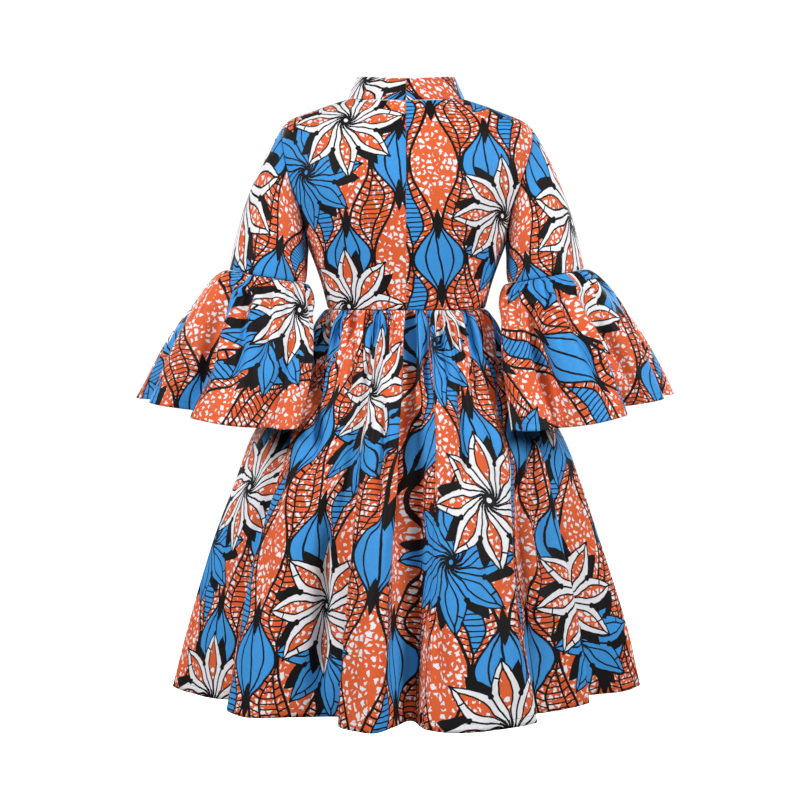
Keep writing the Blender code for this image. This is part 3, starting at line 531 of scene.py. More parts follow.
def clear_of_skirt(points):
    """Points moved out from the skirt's axis until they lie outside the skirt."""
    drop = np.clip(WAIST_Z - points[..., 2], 0.0, SKIRT_DROPS[-1])
    sections = table_at(SKIRT_SECTIONS, drop, SKIRT_DROPS)
    left, right, back, front = np.moveaxis(sections[..., 1:5], -1, 0)
    half = np.where(points[..., 0] > 0, right, left) + SKIRT_CLEARANCE
    deep = np.where(points[..., 1] > 0, front, back) + SKIRT_CLEARANCE
    reach = np.hypot(points[..., 0] / half, points[..., 1] / deep)
    near = np.clip((reach - 1) / SOFTNESS, -40.0, 40.0)
    wanted = 1 + SOFTNESS * np.log1p(np.exp(near))
    scale = wanted / np.maximum(reach, 1e-6)
    touching = (points[..., 2] <= WAIST_Z) & (reach <= 1 + 8 * SOFTNESS)
    scale = np.where(touching, scale, 1.0)
    return np.stack((points[..., 0] * scale, points[..., 1] * scale, points[..., 2]), axis=-1)


def flounce_grid(side, way, wave):
    """Outer face of a flounce at ways down to the hem and gather waves."""
    sign = 1.0 if side == "right" else -1.0
    ways = [row[0] for row in FLOUNCE_SECTIONS]
    puff, fold, gather = np.moveaxis(table_at(FLOUNCE_SECTIONS, way, ways)[..., 1:], -1, 0)
    line = FLOUNCE_LINES[side]
    turn = line.turn_at(wave, FLOUNCE_TURNS[side])
    smooth = np.stack(
        (
            FLOUNCE_MIDDLE[0] + FLOUNCE_HALF[0] * np.cos(turn),
            FLOUNCE_MIDDLE[1] + FLOUNCE_HALF[1] * np.sin(turn),
        ),
        axis=-1,
    )
    folded = line.point(wave) - smooth
    height, rise_out, rise_front = FLOUNCE_HEMS[side]

    def lifted(plan):
        rise = rise_out * (plan[..., 0] - FLOUNCE_MIDDLE[0]) + rise_front * plan[..., 1]
        return np.stack((sign * plan[..., 0], plan[..., 1], height + rise), axis=-1)

    top = cuff_point(side, turn + math.pi)
    low = lifted(smooth)
    share = way[..., None]
    middle = cuff(side)[0] * (1 - share) + lifted(np.array(FLOUNCE_MIDDLE)) * share
    point = top * (1 - share) + low * share
    outward = point - middle
    outward[..., 2] = 0.0
    outward = unit(outward)
    axis = cuff_axis(side)
    outward = outward - axis * (outward @ axis)[..., None] * (1 - share)
    ripple = gather * gather_profile(wave, FLOUNCE_GATHERS, GATHER_SEEDS[side])
    point = point + outward * (puff + ripple)[..., None]
    move = np.stack((sign * folded[..., 0], folded[..., 1], np.zeros_like(wave)), axis=-1)
    point = point + move * fold[..., None]
    point = np.where(share > FLOUNCE_HELD, clear_of_skirt(point), point)
    return point + axis * (SEAM / 2) * (share <= 0.0)


# Cloth pieces ----------------------------------------------------------------------------------


def grid_normals(points, closed):
    """Normal of each point of a grid of rows, to the left of the way its rows run."""
    if closed:
        along = np.roll(points, -1, axis=1) - np.roll(points, 1, axis=1)
    else:
        along = np.gradient(points, axis=1)
    return unit(np.cross(along, np.gradient(points, axis=0)))


def run_lengths(points, axis):
    """Distance run along an axis of the grid."""
    steps = np.linalg.norm(np.diff(points, axis=axis), axis=-1)
    pad = [(0, 0), (0, 0)]
    pad[axis] = (1, 0)
    return np.pad(np.cumsum(steps, axis=axis), pad)


def lapped(grid):
    """A grid closed round, with its first column again at its end."""
    return np.concatenate((grid, grid[:, :1]), axis=1)


def outward_normals(points):
    """Normals of a grid closed round, and whether its faces have to be turned to match them."""
    normals = grid_normals(points, True)
    centre = points.mean(axis=1, keepdims=True)
    turned = float(((points - centre) * normals).sum()) < 0
    return (-normals if turned else normals), turned


def part_edges(points):
    """Moves a panel's side edges back by half a seam's gap."""
    points[:, 0] += unit(points[:, 1] - points[:, 0]) * SEAM / 2
    points[:, -1] += unit(points[:, -2] - points[:, -1]) * SEAM / 2


def edge_shares(length, count):
    """Shares from 0 to 1 with a few close steps beside both ends."""
    close = np.array(EDGE_STEPS) / length
    middle = np.linspace(close[-1], 1 - close[-1], count + 1)[1:-1]
    return np.concatenate((close, middle, 1 - close[::-1]))


def creased(points, normals):
    """Points pushed in or out along soft uneven creases."""
    moved = points.copy()
    for start, end, depth, width in CREASES:
        start = np.array(start)
        way = np.array(end) - start
        t = np.clip(((points - start) @ way) / (way @ way), 0.0, 1.0)
        sag = CREASE_BOW * np.sin(math.pi * t) * np.linalg.norm(way)
        middle = start + t[..., None] * way - sag[..., None] * np.array((0.0, 0.0, 1.0))
        near = np.linalg.norm(points - middle, axis=-1) / (width * (0.75 + 0.5 * t))
        fade = np.sin(math.pi * np.clip(t, 0.04, 0.96)) ** 0.7
        moved = moved + normals * (depth * fade * np.exp(-(near**2)))[..., None]
    return moved


def furrowed(points, normals, furrows, middle_y, seam_z, flip):
    """Points pushed in along furrows, which are measured across the back or the front, and how
    far the cloth has run on across each row where a furrow swallows some of it.

    A furrow that starts at the seam is deep at once, and a lower one deepens slowly.
    """
    moved = points.copy()
    run_on = np.zeros(points.shape[:2])
    for side in (-1.0, 1.0):
        facing = np.clip((points[..., 1] - middle_y) * side / FURROW_EDGE, 0.0, 1.0)
        hand = -side if flip else 1.0
        way = np.sign((np.gradient(points[..., 0], axis=1) * facing).sum())
        for (top_x, top_z), (low_x, low_z), depth, width in furrows:
            share = (points[..., 2] - top_z) / (low_z - top_z)
            middle = hand * (top_x + (low_x - top_x) * share)
            middle = middle + FURROW_SWAY * np.sin(9 * share + 40 * top_x)
            start = FURROW_START + FURROW_SLOWNESS * max(seam_z - top_z, 0.0)
            fade = np.clip((top_z - points[..., 2]) / start, 0.0, 1.0)
            fade = facing * ease(fade * np.clip((1 - share) / FURROW_FADE, 0.0, 1.0))
            off = points[..., 0] - middle
            near = off / (width * (0.8 + 0.5 * np.clip(share, 0.0, 1.0)))
            near = np.where(near * hand * top_x > 0, near * FURROW_SLOPE, near)
            moved = moved + normals * (depth * fade * np.exp(-(near**2)))[..., None]
            swallowed = 0.5 * np.tanh(2.2 * near) - 0.5 * np.clip(off / FURROW_REACH, -1.0, 1.0)
            swallowed = np.where(abs(off) < FURROW_REACH, swallowed, 0.0)
            run_on = run_on - way * swallowed * depth * FURROW_CLOTH * fade
    return moved, run_on


def rumpled(points, normals, share, down, ends, depth):
    """Points moved in and out over soft shallow ripples, no two alike, which leave the seams."""
    length = np.linalg.norm(np.diff(points, axis=1), axis=-1).sum(axis=1).mean()
    lap = 2 * math.pi * share
    fine, broad, patch = (round(length / gap) for gap in RIPPLE_GAPS)
    height = np.sin(fine * lap + 1.9 * np.sin(23 * down + 3 * lap))
    height = height + np.sin(broad * lap + 2.4 * np.sin(14 * down + 1.0 + 2 * lap))
    strength = 0.5 + 0.5 * np.sin(patch * lap + 11 * down)
    held = 1 - np.exp(-((ends / RIPPLE_EDGE) ** 2))
    return points + normals * (0.5 * depth * height * strength * held)[..., None]


def puckered(points, normals, share, down):
    """Points moved in and out over the small puckers that gathering leaves below a seam."""
    length = np.linalg.norm(np.diff(points[0], axis=0), axis=-1).sum()
    lap = 2 * math.pi * share[:1]
    fine, broad = round(length / PUCKER_GAP), round(length / PUCKER_GAP / 3.7)
    height = np.sin(fine * lap + 1.8 * np.sin(broad * lap)) * (0.75 + 0.25 * np.sin(3 * lap + 1.0))
    strength = np.clip(down / PUCKER_START, 0.0, 1.0) * np.exp(-down / PUCKER_LENGTH)
    return points + normals * (PUCKER_DEPTH * height * strength)[..., None]


def sunk_edges(points, normals, distance):
    """Points beside a seam drawn in where the stitches hold them."""
    depth, reach = SEAM_SINK
    return points - normals * (depth * np.exp(-((distance / reach) ** 2)))[..., None]


def squares(grid):
    """The four corner values of each square of a grid."""
    return np.stack((grid[:-1, :-1], grid[:-1, 1:], grid[1:, 1:], grid[1:, :-1]), axis=-2)


def cloth_piece(name, points, flat, closed, thickness, turned=False, hem=None):
    """A thin sheet of cloth on a grid of points.

    Flat holds each point's place on the cloth, and hem its run along the hem and its distance
    from it.
    """
    rows, columns = points.shape[:2]
    index = np.arange(rows * columns).reshape(rows, columns)
    if closed:
        index = lapped(index)
    corners = squares(index[..., None])[..., 0]
    maps = {"cloth": squares(flat)}
    maps["hem"] = squares(np.ones_like(flat) if hem is None else hem)
    if turned:
        corners = corners[..., ::-1]
        maps = {key: values[..., ::-1, :] for key, values in maps.items()}
    mesh = bpy.data.meshes.new(name)
    mesh.from_pydata(points.reshape(-1, 3).tolist(), [], corners.reshape(-1, 4).tolist())
    for key, values in maps.items():
        layer = mesh.uv_layers.new(name=key)
        layer.data.foreach_set("uv", np.ascontiguousarray(values, dtype=np.float32).ravel())
    mesh.shade_smooth()
    mesh.update()
    piece = bpy.data.objects.new(name, mesh)
    bpy.context.scene.collection.objects.link(piece)
    wall = piece.modifiers.new("cloth thickness", "SOLIDIFY")
    wall.thickness = thickness
    wall.offset = -1.0
    return piece


def pinned(flat, points, place, side=-1.0, motif="first flower", lean=None):
    """Flat places moved so that a motif of the print sits at (x, z) on the side asked for.

    A lean turns the print there, until its way down points that far round from the right.
    """
    ink = bpy.context.scene.wax_print
    motifs = {
        "first flower": (0.0, 0.0),
        "second flower": (ink.flower_pitch + ink.second_shift, ink.repeat / 2),
        "blue bulb": (-2 * ink.pitch, ink.bulb_rise),
    }
    gap = (points[..., 0] - place[0]) ** 2 + (points[..., 2] - place[1]) ** 2
    normals = grid_normals(points, False)
    facing = normals[..., 1] * side * np.sign((normals * (points - points.mean(axis=(0, 1)))).sum())
    gap = gap + np.where(facing < 0, 1.0, 0.0)
    row, column = np.unravel_index(np.argmin(gap), gap.shape)
    flat = flat - flat[row, column]
    if lean is not None:
        tall, wide = LEAN_SPAN
        low, high = max(row - tall, 0), min(row + tall, points.shape[0] - 1)
        left, right = max(column - wide, 0), min(column + wide, points.shape[1] - 1)
        seen = np.stack(
            (points[high, column] - points[low, column], points[row, right] - points[row, left])
        )[:, (0, 2)]
        laid = np.stack((flat[high, column] - flat[low, column], flat[row, right] - flat[row, left]))
        down = np.array((math.cos(lean), math.sin(lean))) @ np.linalg.inv(seen) @ laid
        turn = -math.pi / 2 - math.atan2(down[1], down[0])
        spin = np.array(((math.cos(turn), math.sin(turn)), (-math.sin(turn), math.cos(turn))))
        flat = flat @ spin
    return flat + np.array(motifs[motif])


def settle(piece, node):
    """Hands a finished cloth piece to the frame in place of its solid."""
    piece.data.materials.append(wax_print_material())
    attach(piece, "root")
    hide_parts(node)


def sew(name, node, points, flat, held, pin, cut=None, layers=1, closed=False, turned=False, hem=None):
    """Makes a finished panel's piece, with its print pinned. Its cut is not used."""
    flat = pinned(flat, lapped(points) if closed else points, *pin)
    thickness = bpy.context.scene.dress.thickness * layers
    piece = cloth_piece(name, points, flat, closed, thickness, turned, hem)
    settle(piece, node)


# Shader maths ----------------------------------------------------------------------------------


def adding(operation, swapped=False):
    """A method that adds a Math node, with the method's own value last if swapped."""

    def method(self, *others):
        values = (*others, self) if swapped else (self, *others)
        return self.graph.maths(operation, *values)

    return method


class Signal:
    """A value in a material. Python's operators on it add Math nodes."""

    def __init__(self, graph, socket):
        self.graph = graph
        self.socket = socket

    __add__ = __radd__ = adding("ADD")
    __sub__ = adding("SUBTRACT")
    __rsub__ = adding("SUBTRACT", swapped=True)
    __mul__ = __rmul__ = __and__ = adding("MULTIPLY")
    __truediv__ = adding("DIVIDE")
    __pow__ = adding("POWER")
    __mod__ = adding("FLOORED_MODULO")
    __abs__ = adding("ABSOLUTE")
    __lt__ = adding("LESS_THAN")
    __gt__ = adding("GREATER_THAN")
    __or__ = upper = adding("MAXIMUM")
    lower = adding("MINIMUM")
    floor = adding("FLOOR")
    fraction = adding("FRACT")
    sine = adding("SINE")


class Graph:
    """Nodes of one material, added by type, settings and socket values."""

    def __init__(self, name):
        self.material = bpy.data.materials.new(name)
        self.material.use_nodes = True
        self.nodes = self.material.node_tree.nodes
        self.links = self.material.node_tree.links
        self.shader = self.nodes["Principled BSDF"]

    def add(self, kind, settings=None, **values):
        """A node of this kind, its values named by input or as i and the input's number.

        A setting called stops fills the node's ramp with (place, grey).
        """
        node = self.nodes.new(kind)
        for setting, value in (settings or {}).items():
            if setting == "stops":
                ramp = node.color_ramp
                ramp.interpolation = "CARDINAL"
                for place, grey in value[1:-1]:
                    ramp.elements.new(place).color = (grey, grey, grey, 1.0)
                ends = ((ramp.elements[0], value[0]), (ramp.elements[-1], value[-1]))
                for element, (place, grey) in ends:
                    element.position = place
                    element.color = (grey, grey, grey, 1.0)
            else:
                setattr(node, setting, value)
        for key, value in values.items():
            place = int(key[1:]) if key[0] == "i" and key[1:].isdigit() else key.replace("_", " ")
            self.feed(node.inputs[place], value)
        return node

    def feed(self, socket, value):
        if isinstance(value, Signal):
            self.links.new(value.socket, socket)
        elif value is not None:
            socket.default_value = value

    def signal(self, node, output=0):
        return Signal(self, node.outputs[output])

    def maths(self, operation, *values):
        inputs = {f"i{number}": value for number, value in enumerate(values)}
        return self.signal(self.add("ShaderNodeMath", {"operation": operation}, **inputs))

    def mix(self, factor, under, over):
        settings = {"data_type": "RGBA"}
        return self.signal(self.add("ShaderNodeMix", settings, i0=factor, i6=under, i7=over), 2)

    def noise(self, vector, scale):
        """Flat noise: output 0 is its grey and 1 its colour."""
        return self.add("ShaderNodeTexNoise", {"noise_dimensions": "2D"}, Vector=vector, Scale=scale)

    def curve(self, value, stops):
        """A value read off a line through (place, height) stops."""
        return self.signal(self.add("ShaderNodeValToRGB", {"stops": stops}, Fac=value))


def srgb(red, green, blue):
    """A colour given from 0 to 255, as shares."""
    return (red / 255, green / 255, blue / 255)


def linear(colour):
    """An sRGB colour in linear light."""
    parts = [part / 12.92 if part <= 0.04045 else ((part + 0.055) / 1.055) ** 2.4 for part in colour]
    return (*parts, 1.0)


# Wax print -------------------------------------------------------------------------------------


# Bulbs and the bands between them.
BULB_STOPS = 26
BULB_SCALE = 0.05  # half width that a bulb's curve calls 1
ORANGE_FULLNESS = 0.90  # lower is fuller
BLUE_FULLNESS = 0.78
VEIN_PLACE = 0.54  # share of a bulb's half width at which its outer veins run
VEIN_BEND = 0.0035
STRIPE_EDGE = 0.365  # share of the stripes' spacing from the middle between two to the edge of one
RUNG_EDGE = 0.378  # and the same for rungs
RUNG_SLOPE = 0.35
LENS_MOST = 0.28  # share of the gap between bulbs that a lens fills at most
LENS_LINE = 0.75  # its outline's width, beside the others'
WAVER_SCALE = 38.0
WAVER_SIZE = 0.0035  # how far the lines stray
TEAR_SCALE = 190.0
TEAR_SIZE = 0.0060  # how ragged the spots' edges are
SPOT_GAP = 0.14  # least share of a cell left round a spot
SPOT_GAP_SPREAD = 0.24
SPOTS_LEFT_OUT = 0.14  # share of them

# A flower. Its lengths are shares of its reach, and its turns are counted in petals.
FLOWER_COLUMNS = 8  # bulb columns that hold two columns of flowers
FLOWER_LEAD = 0.33  # share of those columns that lies before the first flower
FLOWER_CUTS = (0.100, 0.1415)  # place at which the second column takes over, under and on top
PETALS = 8
PETAL_TURN = 0.43
TWIST = 1.9
TWIST_STOPS = (
    (0.0, 1.0), (0.07, 0.72), (0.13, 0.48), (0.2, 0.28), (0.3, 0.13), (0.5, 0.04), (1.0, 0.0),
)
PETAL_STOPS = (
    (0.0, 0.6), (0.5, 0.225), (0.6, 0.208), (0.7, 0.168), (0.8, 0.118), (0.9, 0.062), (1.0, 0.0),
)
HEART_STOPS = (
    (0.0, 0.006), (0.2, 0.012), (0.3, 0.020), (0.4, 0.058), (0.5, 0.086),
    (0.6, 0.086), (0.7, 0.064), (0.8, 0.030), (0.88, 0.0),
)
HEART_START = 0.24
HEART_END = 0.88
BRACKET_START = 0.70  # where a short line crosses half of each petal
BRACKET_SLOPE = 0.5
THIN_LINE = 0.9  # the inner lines' width, beside the rim's
EYE = 0.095
EYE_TEETH = 0.17
DOT = 0.034
SHADOW_TURN = 0.30
SHADOW_INSET = 0.018

# The cloth itself.
STITCH_GROOVE = 0.0007
THREAD = 0.0004  # its half width
THREAD_SHARE = 0.68  # of a stitch that shows
MOTTLE_SCALE = 210.0
MOTTLE = 0.16
THREAD_TINT = 0.55


def bulb_stops(ink):
    """Half width of a print column from the middle of an orange bulb to that of a blue one."""
    neck_place = ink.orange_length / (ink.orange_length + ink.blue_length)
    stops = []
    for number in range(BULB_STOPS):
        place = number / (BULB_STOPS - 1)
        if place < neck_place:
            share = 1 - place / neck_place
            width = ink.orange_width
            fullness = ORANGE_FULLNESS
        else:
            share = (place - neck_place) / (1 - neck_place)
            width = ink.blue_width
            fullness = BLUE_FULLNESS
        shape = (0.5 - 0.5 * math.cos(math.pi * share)) ** fullness
        stops.append((place, (ink.neck + (width - ink.neck) * shape) / BULB_SCALE))
    return stops


def flower_place(u, v, ink, cut, first, second):
    """Place from the nearest flower's middle, in shares of its reach. The two columns of flowers
    are in a half drop, each moved (across, down) from its own column's middle."""
    lap = ink.pitch * FLOWER_COLUMNS
    before = lap * FLOWER_LEAD
    across = ((u + before) / lap).fraction() * lap - before
    later = across > cut
    x = across - (later * (ink.flower_pitch + second[0] - first[0]) + first[0])
    fallen = v - (later * (second[1] - first[1]) + first[1])
    y = (fallen / ink.repeat + later * 0.5 + 0.5).fraction() - 0.5
    return x / ink.flower_radius, y * (ink.repeat / ink.flower_radius)


def flower_masks(graph, x, y, ink):
    """Petals, their orange hearts, the drawn lines and the shadow of one flower."""
    radius = (x * x + y * y) ** 0.5
    angle = graph.maths("ARCTAN2", y, x)
    twist = graph.curve(radius, TWIST_STOPS)
    sector = angle * (PETALS / (2 * math.pi)) + twist * TWIST + PETAL_TURN
    offset = sector.fraction() - 0.5
    arc = 2 * math.pi / PETALS
    side = abs(offset) * radius * arc
    petal = graph.curve(radius, PETAL_STOPS)
    heart = graph.curve(radius, HEART_STOPS)
    rim = (petal - side).lower((0.5 - abs(offset)) * radius * arc)
    inside = (petal - side) > 0.0
    inside = inside & (radius < 1.0)
    line = ink.fine_line / ink.flower_radius
    thin = line * THIN_LINE
    drawn = (abs(rim) < line) | (abs(side - heart) < thin)
    bracket = abs(radius - BRACKET_START - side * BRACKET_SLOPE) < thin
    bracket = bracket & (side > heart) & (offset > 0.0)
    drawn = (drawn | bracket) & (inside | (abs(rim) < line)) & (radius < 1.01)
    eye = (radius < EYE) | ((radius < EYE_TEETH) & ((sector * 2).fraction() > 0.5))
    dot = radius < DOT
    turned = (sector + SHADOW_TURN).fraction() - 0.5
    shadow = (petal - SHADOW_INSET - abs(turned) * radius * arc) > 0.0
    shadow = shadow & (radius < 1.0)
    orange = (heart - side > 0.0) & (radius > HEART_START) & (radius < HEART_END)
    return inside, orange, drawn, eye, dot, shadow


def white_spots(graph, cloth, ink):
    """The ragged white spots on orange, some of them left out."""
    ragged = graph.noise(cloth, TEAR_SCALE)
    nudge = graph.add(
        "ShaderNodeVectorMath", {"operation": "SCALE"}, i0=graph.signal(ragged, 1), Scale=TEAR_SIZE
    )
    moved = graph.add("ShaderNodeVectorMath", {"operation": "ADD"}, i0=cloth, i1=graph.signal(nudge))
    cells, edges = (
        graph.add(
            "ShaderNodeTexVoronoi",
            {"voronoi_dimensions": "2D", "feature": feature},
            Vector=graph.signal(moved),
            Scale=1 / ink.spot,
        )
        for feature in ("F1", "DISTANCE_TO_EDGE")
    )
    chance = graph.add("ShaderNodeSeparateColor", Color=graph.signal(cells, 1))
    least = graph.signal(chance, 1) * SPOT_GAP_SPREAD + SPOT_GAP
    return (graph.signal(edges) > least) & (graph.signal(chance, 0) > SPOTS_LEFT_OUT)


def bands(graph, cloth, u, v, ink, colours):
    """The print's dotted orange, and its ground: columns of bulbs with ladders and lenses between."""
    orange, blue, black, white = colours
    pitch = ink.pitch
    repeat = ink.repeat
    column = (u / pitch + 0.5).floor()
    x_signed = u - column * pitch
    x = abs(x_signed)
    place = ((v - ink.bulb_rise) / repeat + column * 0.5).fraction()
    along = abs(place - 0.5) * 2.0
    stops = bulb_stops(ink)
    own = graph.curve(along, stops) * BULB_SCALE
    other = graph.curve(1.0 - along, stops) * BULB_SCALE
    neck_place = ink.orange_length / (ink.orange_length + ink.blue_length)
    edge = x - own
    far_edge = pitch - other - x
    gap = edge.lower(far_edge)
    line = ink.line
    in_bulb = edge < 0.0
    in_far = far_edge < 0.0
    blue_bulb = along > neck_place

    dotted = graph.mix(white_spots(graph, cloth, ink), orange, white)
    bend = (place * (4 * math.pi)).sine() * VEIN_BEND
    veins = (abs(x_signed + bend) < ink.vein) | (abs(x - own * VEIN_PLACE) < ink.vein)
    bud = graph.mix(veins, blue, black)
    bulb = graph.mix(blue_bulb, dotted, bud)
    stripe = abs((v / ink.stripe).fraction() - 0.5) > STRIPE_EDGE
    lens_parity = (u / pitch).floor() % 2.0
    lens = graph.mix(lens_parity, dotted, blue)
    lens = graph.mix(stripe, lens, black)
    whole_gap = pitch - own - other
    rise = (along - 0.5) * (repeat * 0.5 / ink.lens_length)
    lens_width = (1.0 - rise * rise).upper(0.0) * ink.lens_width
    ladder = whole_gap * 0.5 - lens_width.lower(whole_gap * LENS_MOST)
    step = (v + gap * RUNG_SLOPE) / ink.rung
    rung = abs(step.fraction() - 0.5) > RUNG_EDGE
    band = graph.mix(rung, dotted, black)
    ground = graph.mix(gap > ladder, band, lens)
    outline = (abs(gap) < line) | (abs(gap - ladder) < line * LENS_LINE)
    ground = graph.mix(outline, ground, black)
    far_blue = along < 1.0 - neck_place
    far = graph.mix(far_blue, bulb, blue)
    ground = graph.mix(in_far, ground, far)
    ground = graph.mix(in_bulb & (edge < 0.0 - line), ground, bulb)
    ground = graph.mix(abs(edge) < line, ground, black)
    spindle_run = (along - neck_place) * (repeat * 0.5 / ink.spindle_length)
    spindle = x < (1.0 - spindle_run * spindle_run) * ink.spindle_width
    ground = graph.mix(spindle, ground, black)
    return dotted, ground


def flowered(graph, u, v, ink, ground, dotted, colours):
    """The ground with its flowers: blue ones, and white ones with dotted hearts over them."""
    _, blue, black, white = colours
    layers = (
        (blue, None, FLOWER_CUTS[0], ink.first_under, ink.second_under),
        (white, dotted, FLOWER_CUTS[1], (0.0, 0.0), (ink.second_shift, 0.0)),
    )
    for petals, heart, *places in layers:
        x, y = flower_place(u, v, ink, *places)
        inside, hearts, drawn, eye, dot, shadow = flower_masks(graph, x, y, ink)
        ground = graph.mix(shadow, ground, black)
        ground = graph.mix(inside, ground, petals)
        if heart is not None:
            ground = graph.mix(hearts & inside, ground, heart)
        ground = graph.mix(drawn | eye, ground, black)
        ground = graph.mix(dot, ground, petals)
    return ground


def wax_print_material():
    """The printed cotton, read from each piece's own flat cloth map."""
    known = bpy.data.materials.get("wax print cotton")
    if known is not None:
        return known
    ink = bpy.context.scene.wax_print
    graph = Graph("wax print cotton")
    cloth = graph.signal(graph.add("ShaderNodeUVMap", {"uv_map": "cloth"}))
    parts = graph.add("ShaderNodeSeparateXYZ", Vector=cloth)
    waver = (graph.signal(graph.noise(cloth, WAVER_SCALE)) - 0.5) * WAVER_SIZE
    u = graph.signal(parts, 0) + waver
    v = graph.signal(parts, 1) - waver

    colours = [linear(colour) for colour in (ink.orange, ink.blue, ink.black, ink.white)]
    dotted, ground = bands(graph, cloth, u, v, ink, colours)
    ground = flowered(graph, u, v, ink, ground, dotted, colours)
    black = colours[2]

    edge_map = graph.add("ShaderNodeUVMap", {"uv_map": "hem"})
    sewn = graph.add("ShaderNodeSeparateXYZ", Vector=graph.signal(edge_map))
    along_hem = graph.signal(sewn, 0) / ink.stitch_length
    above_hem = graph.signal(sewn, 1) - ink.stitch_height
    seam_line = abs(above_hem) < STITCH_GROOVE
    thread = seam_line & (abs(above_hem) < THREAD) & (along_hem.fraction() < THREAD_SHARE)

    mottle = graph.signal(graph.noise(cloth, MOTTLE_SCALE))
    worn = graph.mix(mottle * MOTTLE, ground, black)
    worn = graph.mix(thread * THREAD_TINT, worn, black)
    graph.feed(graph.shader.inputs["Base Color"], worn)

    warp = (u * (2 * math.pi / ink.yarn)).sine()
    weft = (v * (2 * math.pi / ink.yarn)).sine()
    weave = warp * weft + mottle * 0.6 - seam_line * 3.0 + thread * 3.5
    bump = graph.add("ShaderNodeBump", Height=weave, Strength=0.12, Distance=0.0002)
    graph.feed(graph.shader.inputs["Normal"], graph.signal(bump))
    graph.feed(graph.shader.inputs["Roughness"], mottle * 0.16 + 0.52)
    graph.feed(graph.shader.inputs["Sheen Weight"], 0.02)
    graph.feed(graph.shader.inputs["Sheen Roughness"], 0.5)
    graph.feed(graph.shader.inputs["Specular IOR Level"], 0.14)
    return graph.material


def ribbed_material(name, colour, roughness):
    """Fine ribs and grain, for the zip's tape, coil and slider."""
    graph = Graph(name)
    where = graph.signal(graph.add("ShaderNodeTexCoord"), "Object")
    grain = graph.signal(graph.add("ShaderNodeTexNoise", Vector=where, Scale=900.0))
    ribs = graph.add("ShaderNodeTexWave", {"bands_direction": "Z"}, Vector=where, Scale=420.0)
    height = graph.signal(ribs, "Fac") * 0.6 + grain * 0.4
    bump = graph.add("ShaderNodeBump", Height=height, Strength=0.3, Distance=0.0003)
    darker = (*(part * 0.7 for part in colour[:3]), 1.0)
    graph.feed(graph.shader.inputs["Base Color"], graph.mix(grain * 0.3, colour, darker))
    graph.feed(graph.shader.inputs["Normal"], graph.signal(bump))
    graph.feed(graph.shader.inputs["Roughness"], roughness)
    return graph.material


# Settings --------------------------------------------------------------------------------------


def sized(name, description, default, unit="LENGTH"):
    """A length in metres, or a number in another unit or none."""
    return bpy.props.FloatProperty(name=name, description=description, default=default, unit=unit)


def placed(name, description, default):
    """A place on the cloth, across and down."""
    return bpy.props.FloatVectorProperty(
        name=name, description=description, default=default, size=2, unit="LENGTH"
    )


def inked(name, description, default):
    """An ink as the eye's red, green and blue."""
    return bpy.props.FloatVectorProperty(
        name=name, description=description, default=srgb(*default), min=0.0, max=1.0, subtype="COLOR_GAMMA"
    )


class WaxPrintSettings(bpy.types.PropertyGroup):
    """Sizes and inks of the wax print."""

    pitch: sized("Column pitch", "Distance between bulb columns", 0.084)
    repeat: sized("Repeat", "Height of one repeat", 0.296)
    orange_length: sized("Orange bulb", "Half height of an orange bulb", 0.094)
    blue_length: sized("Blue bulb", "Half height of a blue bulb", 0.054)
    orange_width: sized("Orange half width", "Half width of an orange bulb", 0.0382)
    blue_width: sized("Blue half width", "Half width of a blue bulb", 0.0412)
    neck: sized("Neck", "Half width of a column's neck", 0.0062)
    lens_width: sized("Lens half width", "Half width of a lens between bulbs", 0.0150)
    lens_length: sized("Lens half height", "Half height of a lens", 0.052)
    stripe: sized("Stripe", "Distance between a lens's stripes", 0.0072)
    rung: sized("Rung", "Distance between a ladder's rungs", 0.0090)
    line: sized("Outline", "Half width of the outlines", 0.0022)
    fine_line: sized("Fine line", "Half width of a flower's lines", 0.0013)
    spot: sized("Spot", "Distance between white spots", 0.0088)
    spindle_length: sized("Spindle length", "Half height of a spindle", 0.025)
    spindle_width: sized("Spindle width", "Half width of a spindle", 0.0062)
    flower_pitch: sized("Flower pitch", "Distance between flower columns", 0.252)
    flower_radius: sized("Flower radius", "Reach of a flower's petals", 0.094)
    bulb_rise: sized("Bulb rise", "Height of a blue bulb over a flower", 0.079)
    vein: sized("Vein", "Half width of a blue bulb's veins", 0.0015)
    second_shift: sized("Second flower shift", "Sideways shift of every second flower column", 0.031)
    first_under: placed("First blue flower", "Blue flower under the first white one", (-0.066, -0.078))
    second_under: placed("Second blue flower", "Blue flower under the second white one", (0.049, -0.055))
    stitch_height: sized("Stitch height", "Height of the stitches over a hem", 0.012)
    stitch_length: sized("Stitch length", "Distance between stitches", 0.0028)
    yarn: sized("Yarn", "Distance between yarns", 0.0009)
    orange: inked("Orange", "Orange ink", (234, 102, 53))
    blue: inked("Blue", "Blue ink", (66, 158, 232))
    black: inked("Black", "Black ink", (20, 16, 18))
    white: inked("White", "Undyed cloth", (247, 246, 250))


class DressSettings(bpy.types.PropertyGroup):
    """Sizes of the dress's cloth and trims."""

    thickness: sized("Cloth thickness", "Thickness of the cotton", 0.0006)
    zip_depth: sized("Zip depth", "Depth of the tape's inner face", 0.0033)
    coil_radius: sized("Coil radius", "Half height of the zip's coil", 0.0010)
    step: sized("Mesh step", "Distance between points on plain cloth", 0.005)
    gather_columns: bpy.props.IntProperty(
        name="Columns per gather", description="Points across a gather", default=16
    )


